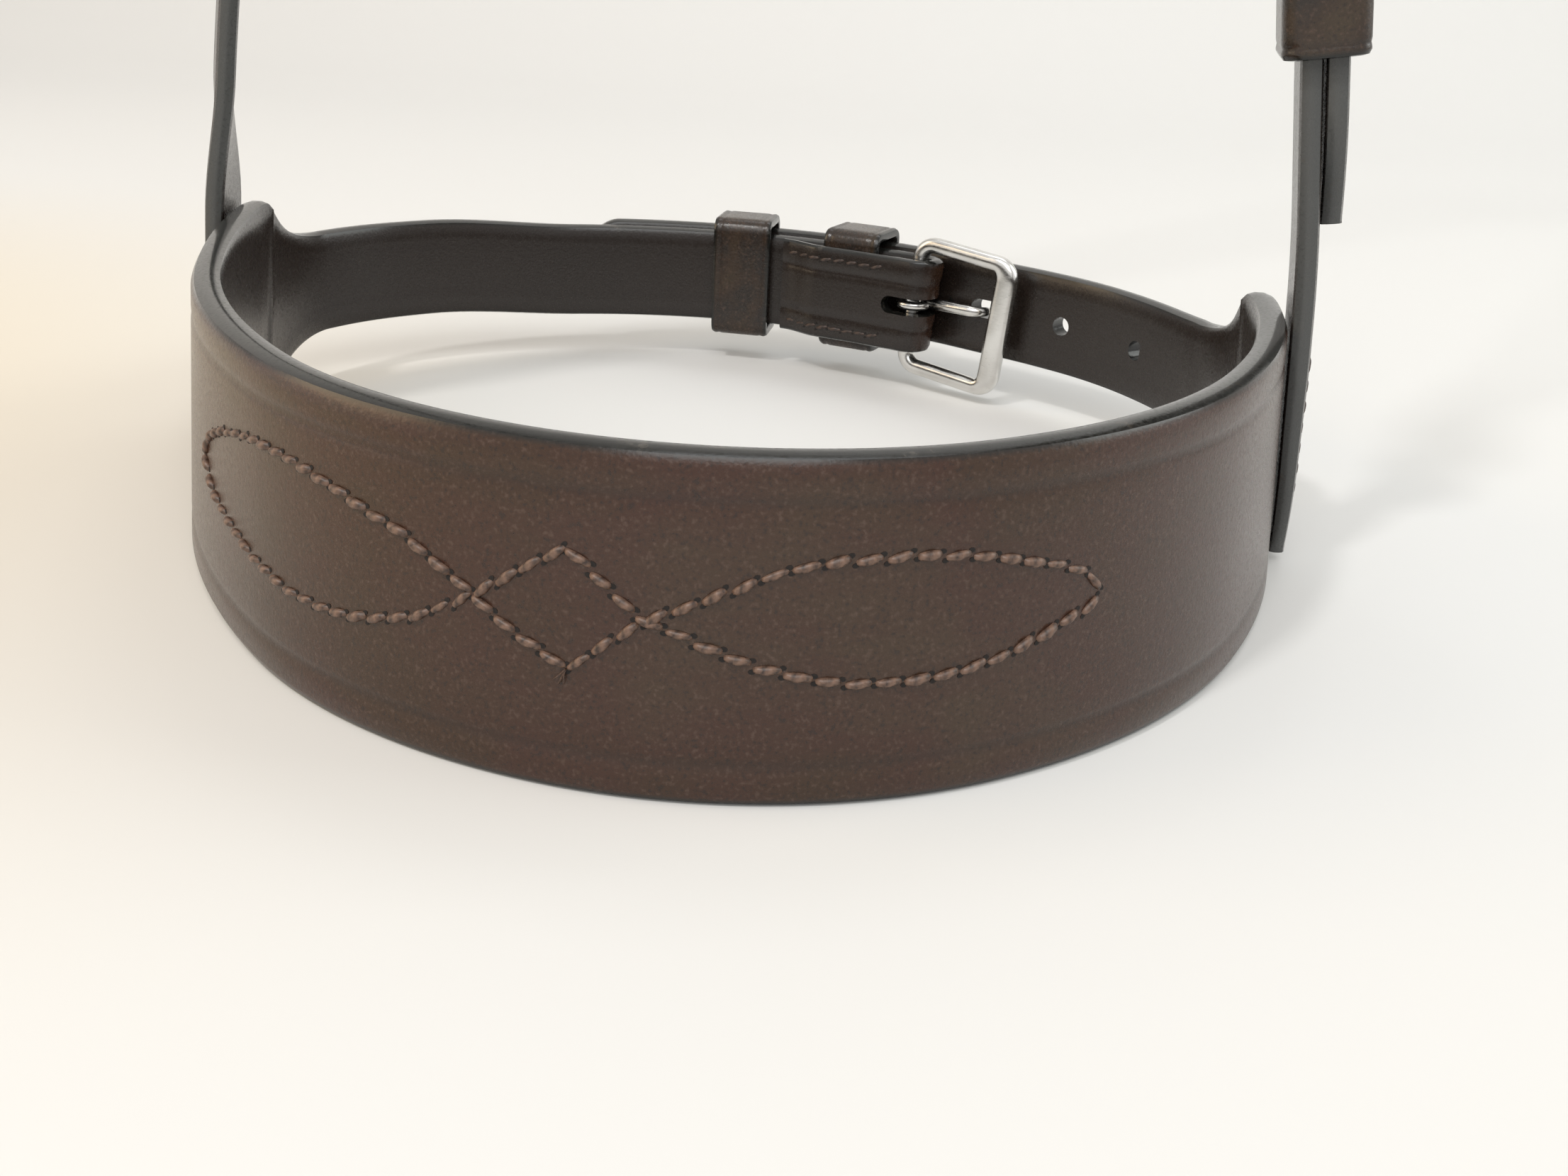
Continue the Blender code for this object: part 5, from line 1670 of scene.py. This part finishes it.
def inner_normal(points: list[Vector], seat: Seat, point: Vector) -> Vector:
    """Inner face's normal near a point of the turn-back.

    Args:
        points: the line of points along the inner face.
        seat: the hinge bar's axes.
        point: the place that the normal is for.

    Returns:
        The normal.
    """
    gaps = [(spot - point).length for spot in points]
    index = min(max(gaps.index(min(gaps)), 1), len(points) - 2)
    way = (points[index + 1] - points[index - 1]).normalized()
    normal = way.cross(seat.width_axis).normalized()
    _, outward = seat.axes(LEATHER.turn_back_length / 2.0)
    return normal if normal.dot(outward) < 0.0 else -normal


@dataclass
class Saddlery:
    """All the sewing of the noseband."""

    lay: NosebandLay
    stitcher: Stitcher

    def fancy(self) -> None:
        """Sew the figure on the front of the band, with a frayed end at its foot."""
        lines = [([self.lay.on_band(u * MM, z * MM) for u, z in run], self._band_normal)
                 for run in FancyPattern().runs()]
        self.stitcher.sew("fancy_stitching", StitchRow(), lines, "noseband")
        self.stitcher.fray("fancy_stitching_frayed_end", self._frayed_end(), "noseband")

    def _frayed_end(self) -> list[list[Vector]]:
        """Fibre lines of the cut thread end at the diamond's lower corner."""
        random = np.random.default_rng(5)
        fibres = []
        for _ in range(7):
            reach, spread = 1.0 + 0.9 * random.random(), random.normal(0.0, 0.45)
            lift = 0.25 + 0.35 * random.random()
            fibres.append([self.lay.on_band((1.3 - share * (0.75 + spread)) * MM,
                                            (14.0 - share * reach) * MM,
                                            lift * math.sin(math.pi * (0.15 + 0.75 * share)) * MM)
                           for share in (0.0, 0.25, 0.5, 0.75, 1.0)])
        return fibres

    def _band_normal(self, point: Vector) -> Vector:
        """Outward normal of the band's outer face at a point on it."""
        plan = Vector((point.x - self.lay.shift.x, point.y - self.lay.shift.y))
        best, heading = 1e9, 0.0
        for step in range(-170, 171):
            spot, turned = self.lay.ring.at(step * MM, closed=True)
            gap = (spot - plan).length
            if gap < best:
                best, heading = gap, turned
        outward = Vector((math.sin(heading), -math.cos(heading), LEATHER.lean_share))
        return outward.normalized()

    def strap_seams(self) -> None:
        """Sew the feet of the hangers and the chapes' keepers, in two rows each."""
        lay = self.lay
        foot_row = StitchRow(pitch=3.0 * MM, thread_radius=0.30 * MM, bury=0.33 * MM,
                             hole=0.24 * MM)
        chape_row = StitchRow(pitch=3.0 * MM, thread_radius=0.32 * MM, bury=0.22 * MM,
                              hole=0.26 * MM)
        self.stitcher.sew("near_foot_seam", foot_row, self._near_foot(), "noseband", 11)
        self.stitcher.sew("off_foot_seam", foot_row, self._off_foot(), "noseband", 13)
        for name, seat, buckle, width, main_layer in (
                ("curb_chape_seam", lay.curb_seat, CURB_BUCKLE, LEATHER.arm_width,
                 LEATHER.arm_thickness),
                ("near_chape_seam", lay.near_seat, NEAR_BUCKLE, LEATHER.hanger_width,
                 LEATHER.hanger_thickness)):
            lines = self._chape(seat, buckle, width, main_layer)
            self.stitcher.sew(name, chape_row, lines, "noseband", 17)

    @staticmethod
    def _foot(outward: Vector, marks: list[float],
              place: Callable[[float, float, float], Vector]) -> list[SeamLine]:
        """Lay two rows on a hanger's pared foot.

        Args:
            outward: the normal of the foot's outer face.
            marks: distances from the tip.
            place: gives the point on that face for a distance from the tip, the thickness
                there and a distance from the strap's middle.

        Returns:
            The rows, each with its normals.
        """
        lines = []
        for side in (-1.0, 1.0):
            points = []
            for to_tip in marks:
                across = point_half_width(to_tip, LEATHER.hanger_width / 2.0) - SEAM.inset
                points.append(place(to_tip, foot_thickness(to_tip), side * across))
            lines.append((points, lambda _point: outward))
        return lines

    def _near_foot(self) -> list[SeamLine]:
        """Rows on the cheek strap's foot."""
        seat = self.lay.near_seat

        def place(to_tip: float, thickness: float, across: float) -> Vector:
            """Point on the outer face."""
            return (seat.place(HANG.cheek_length - to_tip, thickness - LEATHER.hanger_thickness)
                    + across * seat.width_axis)

        length = HANG.cheek_length
        marks = spaced(length - SEAM.foot_from, length - SEAM.foot_to, SEAM.step)
        _, outward = seat.axes(length - 15.0 * MM)
        return self._foot(outward, [length - mark for mark in marks], place)

    def _off_foot(self) -> list[SeamLine]:
        """Rows on the sliphead's foot."""
        lay = self.lay
        heading = lay.off_heading
        flat_out = Vector((math.sin(heading), -math.cos(heading), 0.0))
        along_wall = Vector((-math.cos(heading), -math.sin(heading), 0.0))
        base = Vector((lay.off_base.x, lay.off_base.y, 0.0)) + lay.shift

        def place(to_tip: float, thickness: float, across: float) -> Vector:
            """Point on the outer face."""
            height = HANG.foot_height + to_tip * math.cos(math.atan(LEATHER.lean_share))
            out = GAPS.layer + thickness - LEATHER.lean_share * height
            spot = base + flat_out * out + across * along_wall
            spot.z = height
            return spot

        outward = Vector((flat_out.x, flat_out.y, LEATHER.lean_share)).normalized()
        return self._foot(outward, spaced(SEAM.foot_from, SEAM.foot_to, SEAM.step), place)

    @staticmethod
    def _chape(seat: Seat, buckle: BuckleSizes, width: float, main_layer: float) -> list[SeamLine]:
        """Lay two rows on the inner face of a turn-back."""
        face, body = turn_back_layers(buckle, main_layer)
        marks = spaced(SEAM.chape_from, LEATHER.turn_back_length - SEAM.chape_short, SEAM.step)
        lines = []
        for side in (-1.0, 1.0):
            across = side * (width / 2.0 - SEAM.inset) * seat.width_axis
            points = [seat.place(mark, ramp(face, mark) - ramp(body, mark)) + across
                      for mark in marks]
            lines.append((points, functools.partial(inner_normal, points, seat)))
        return lines


# ---------------------------------------------------------------- studio


@dataclass(frozen=True)
class PaperFloor:
    """White card under the noseband, faintly warm where the room's light falls on it."""

    name: str = "card_floor"
    colour: str = "#e9e8e6"
    warm_light: str = "#e6dac5"
    warm_place: tuple[float, float, float] = (-0.30, -0.04, 0.0)
    warm_from: float = 0.10
    warm_to: float = 0.32
    flat_to: float = 0.55
    bend_radius: float = 0.35
    front: float = -1.6
    size: float = 4.0

    def material(self) -> bpy.types.Material:
        """Build the card's material."""
        material, add = new_material(self.name)
        # Painted warm light: the card is tinted warm round warm_place
        away = add("VectorMath", {"operation": "DISTANCE", 0: add("TexCoord", {}, "Object"),
                                  1: self.warm_place}, 1)
        fade = add("MapRange", {"interpolation_type": "SMOOTHSTEP", 0: away, 1: self.warm_from,
                                2: self.warm_to})
        base = add("ValToRGB", {0: fade, "stops": ((0.0, self.warm_light), (1.0, self.colour))})
        return finished(material, {"Base Color": base, "Roughness": 0.8,
                                   "Specular IOR Level": 0.2})

    def fold(self, run: float) -> tuple[float, float]:
        """Place and height on the card, which turns up into the backdrop, by distance along it."""
        bend = (run - self.flat_to) / self.bend_radius
        if bend <= 0.0:
            return run, 0.0
        if bend <= math.pi / 2.0:
            return (self.flat_to + self.bend_radius * math.sin(bend),
                    self.bend_radius * (1.0 - math.cos(bend)))
        return (self.flat_to + self.bend_radius,
                self.bend_radius + (run - self.flat_to - self.bend_radius * math.pi / 2.0))


@dataclass(frozen=True)
class CameraPlace:
    """The photograph's camera, as fitted: place from the ring's front centre, angles and lens."""

    x: float = 28.34 * MM
    y: float = -139.48 * MM
    z: float = 85.60 * MM
    yaw: float = math.radians(1.906)
    pitch: float = math.radians(23.388)
    roll: float = math.radians(3.169)
    focal_pixels: float = 2150.0
    image_width: float = 2212.0
    sensor: float = 36.0


@dataclass(frozen=True)
class Lamp:
    """A soft square lamp."""

    name: str
    place: tuple[float, float, float]
    aim: tuple[float, float, float]
    size: float
    power: float
    colour: str

    def hang(self) -> None:
        """Hang the lamp."""
        data = bpy.data.lights.new(self.name, "AREA")
        data.shape = "SQUARE"
        data.size = self.size
        data.energy = self.power
        data.color = linear(self.colour)[:3]
        lamp = bpy.data.objects.new(self.name, data)
        bpy.context.scene.collection.objects.link(lamp)
        lamp.location = self.place
        way = Vector(self.aim) - Vector(self.place)
        lamp.rotation_euler = way.to_track_quat("-Z", "Y").to_euler()


LAMPS = (
    Lamp("window_front", (0.05, -0.85, 0.95), (0.0, 0.0, 0.03), 0.9, 7.2, "#fefefd"),
    Lamp("bulb", (-0.43, -0.54, 0.98), (0.0, 0.0, 0.03), 0.11, 3.4, "#fffefc"),
    Lamp("wall_left", (-0.90, -0.15, 0.42), (0.0, 0.0, 0.04), 0.6, 2.6, "#f7d6a6"),
    Lamp("window_right", (0.95, 0.15, 0.60), (0.0, 0.0, 0.05), 0.7, 3.6, "#f7fcf8"),
    Lamp("window_back", (0.10, 0.45, 0.90), (0.10, 0.85, 0.10), 0.5, 1.4, "#f8fbff"),
)


@dataclass
class Studio:
    """Floor, backdrop, lamps and camera."""

    lay: NosebandLay
    room: str = "#f6f5f3"
    room_dim: float = 0.42
    room_bright: float = 0.90

    def floor(self) -> None:
        """Lay a card that turns up into the backdrop behind the noseband."""
        clear_selection()
        bpy.ops.mesh.primitive_grid_add(x_subdivisions=2, y_subdivisions=60, size=1.0)
        card = bpy.context.object
        card.name = card.data.name = "card"
        paper = PaperFloor()
        for vertex in card.data.vertices:
            back, up = paper.fold((vertex.co.y + 0.5) * paper.size + paper.front)
            vertex.co = (vertex.co.x * paper.size, back, up - 0.1 * MM)
        shade(card, 60.0)
        card.data.materials.append(paper.material())

    def world(self) -> None:
        """Soft even light from all round, and a white room to shine in the metal."""
        world = bpy.data.worlds.new("soft_room")
        bpy.context.scene.world = world
        world.use_nodes = True
        tree = world.node_tree
        # The room is a plain white to the camera and in the metal, and dimmer as a lamp
        rays = add_node(tree, "LightPath", {}).node.outputs
        seen = add_node(tree, "Math", {"operation": "MAXIMUM", 0: rays["Is Camera Ray"],
                                       1: rays["Is Glossy Ray"]})
        strength = add_node(tree, "MapRange", {0: seen, 3: self.room_dim, 4: self.room_bright})
        set_node(tree, tree.nodes["Background"], {"Color": linear(self.room),
                                                  "Strength": strength})

    def camera(self) -> None:
        """Stand the camera where the photograph was taken from."""
        spot = CameraPlace()
        way = Vector((-math.sin(spot.yaw) * math.cos(spot.pitch),
                      math.cos(spot.yaw) * math.cos(spot.pitch), -math.sin(spot.pitch)))
        right = Vector((math.cos(spot.yaw), math.sin(spot.yaw), 0.0))
        up = right.cross(way)
        camera_x = math.cos(spot.roll) * right + math.sin(spot.roll) * up
        camera_y = -math.sin(spot.roll) * right + math.cos(spot.roll) * up
        data = bpy.data.cameras.new("photo_camera")
        data.sensor_width = spot.sensor
        data.sensor_fit = "HORIZONTAL"
        data.lens = spot.focal_pixels * spot.sensor / spot.image_width
        data.clip_start = 0.01
        camera = bpy.data.objects.new("photo_camera", data)
        bpy.context.scene.collection.objects.link(camera)
        matrix = Matrix((camera_x, camera_y, -way)).transposed().to_4x4()
        matrix.translation = Vector((spot.x, spot.y, spot.z)) + self.lay.shift
        camera.matrix_world = matrix
        bpy.context.scene.camera = camera

    def build(self) -> None:
        """Set the stage."""
        self.floor()
        self.world()
        for lamp in LAMPS:
            lamp.hang()
        self.camera()
        bpy.context.scene.view_settings.view_transform = "Standard"


# ---------------------------------------------------------------- bench


def main() -> None:
    """Build every piece in a saddler's order."""
    logging.basicConfig(level=logging.INFO, format="%(name)s: %(message)s")
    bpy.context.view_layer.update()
    lay = NosebandLay()
    # The band's turn-back is painted in shade
    band_leather = BridleLeather("bridle_leather_dark_havana", turn_back_shade_mm=31.0).material()
    # The straps' edges get a lighter grey base colour: painted sheen of light caught on their
    # rubbed edges
    strap_leather = BridleLeather("bridle_leather_strap", face="#2b231e", face_warm="#2d221c",
                                  face_dry="#302823", edge="#4b4c4b", edge_roughness=0.30,
                                  crease_mm=2.6).material()
    keeper_leather = BridleLeather("keeper_leather_dark", face="#27201b", face_warm="#33261b",
                                   face_dry="#392d1f", cloud_mm=7.0, crease_mm=1.6).material()
    metal = NickelPlate().material()
    Nosepiece(lay).build(band_leather)
    CheekStrap(lay).build(strap_leather)
    Sliphead(lay).build(strap_leather)
    curb = (LEATHER.arm_width, LEATHER.arm_thickness, CURB.billet_raise)
    near = (LEATHER.hanger_width, LEATHER.hanger_thickness)
    for side, seat, strap_sizes, runner_at in (("curb", lay.curb_seat, curb, CURB.runner_at),
                                               ("near", lay.near_seat, near, HANG.runner_at)):
        for kind, at, body in (("fixed", KEEPER.fixed_at, "noseband"),
                               ("runner", runner_at, side + "_runner")):
            keeper = Keeper(f"{side}_{kind}_loop", seat, at, *strap_sizes)
            keeper.build(keeper_leather, body, f"{side}_{kind}_keeper")
    for side, seat, sizes, swing, skew, prong in (
            ("curb", lay.curb_seat, CURB_BUCKLE, 0.0, CURB.fold_skew, curb_prong()),
            ("near", lay.near_seat, NEAR_BUCKLE, HANG.frame_swing, 0.0, near_prong())):
        BuckleFrame(side + "_buckle_cast_frame", seat, sizes, swing, skew).build(
            metal, side + "_frame", side + "_buckle_frame")
        BuckleTongue(side + "_buckle_wire_tongue", seat, sizes, prong).build(
            metal, side + "_tongue", side + "_buckle_tongue")
    pricks = DarkPrick().material()
    # The seam thread's bright and dark stops are its painted highlight and painted shade
    seam_thread = WaxedThread("waxed_linen_thread_dark", light="#3b2e28", bright="#4a3a32",
                              dark="#211915")
    Saddlery(lay, Stitcher(WaxedThread("waxed_linen_thread").material(), pricks)).fancy()
    Saddlery(lay, Stitcher(seam_thread.material(), pricks)).strap_seams()
    Studio(lay).build()
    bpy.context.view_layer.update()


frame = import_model()

if __name__ == "__main__":
    main()
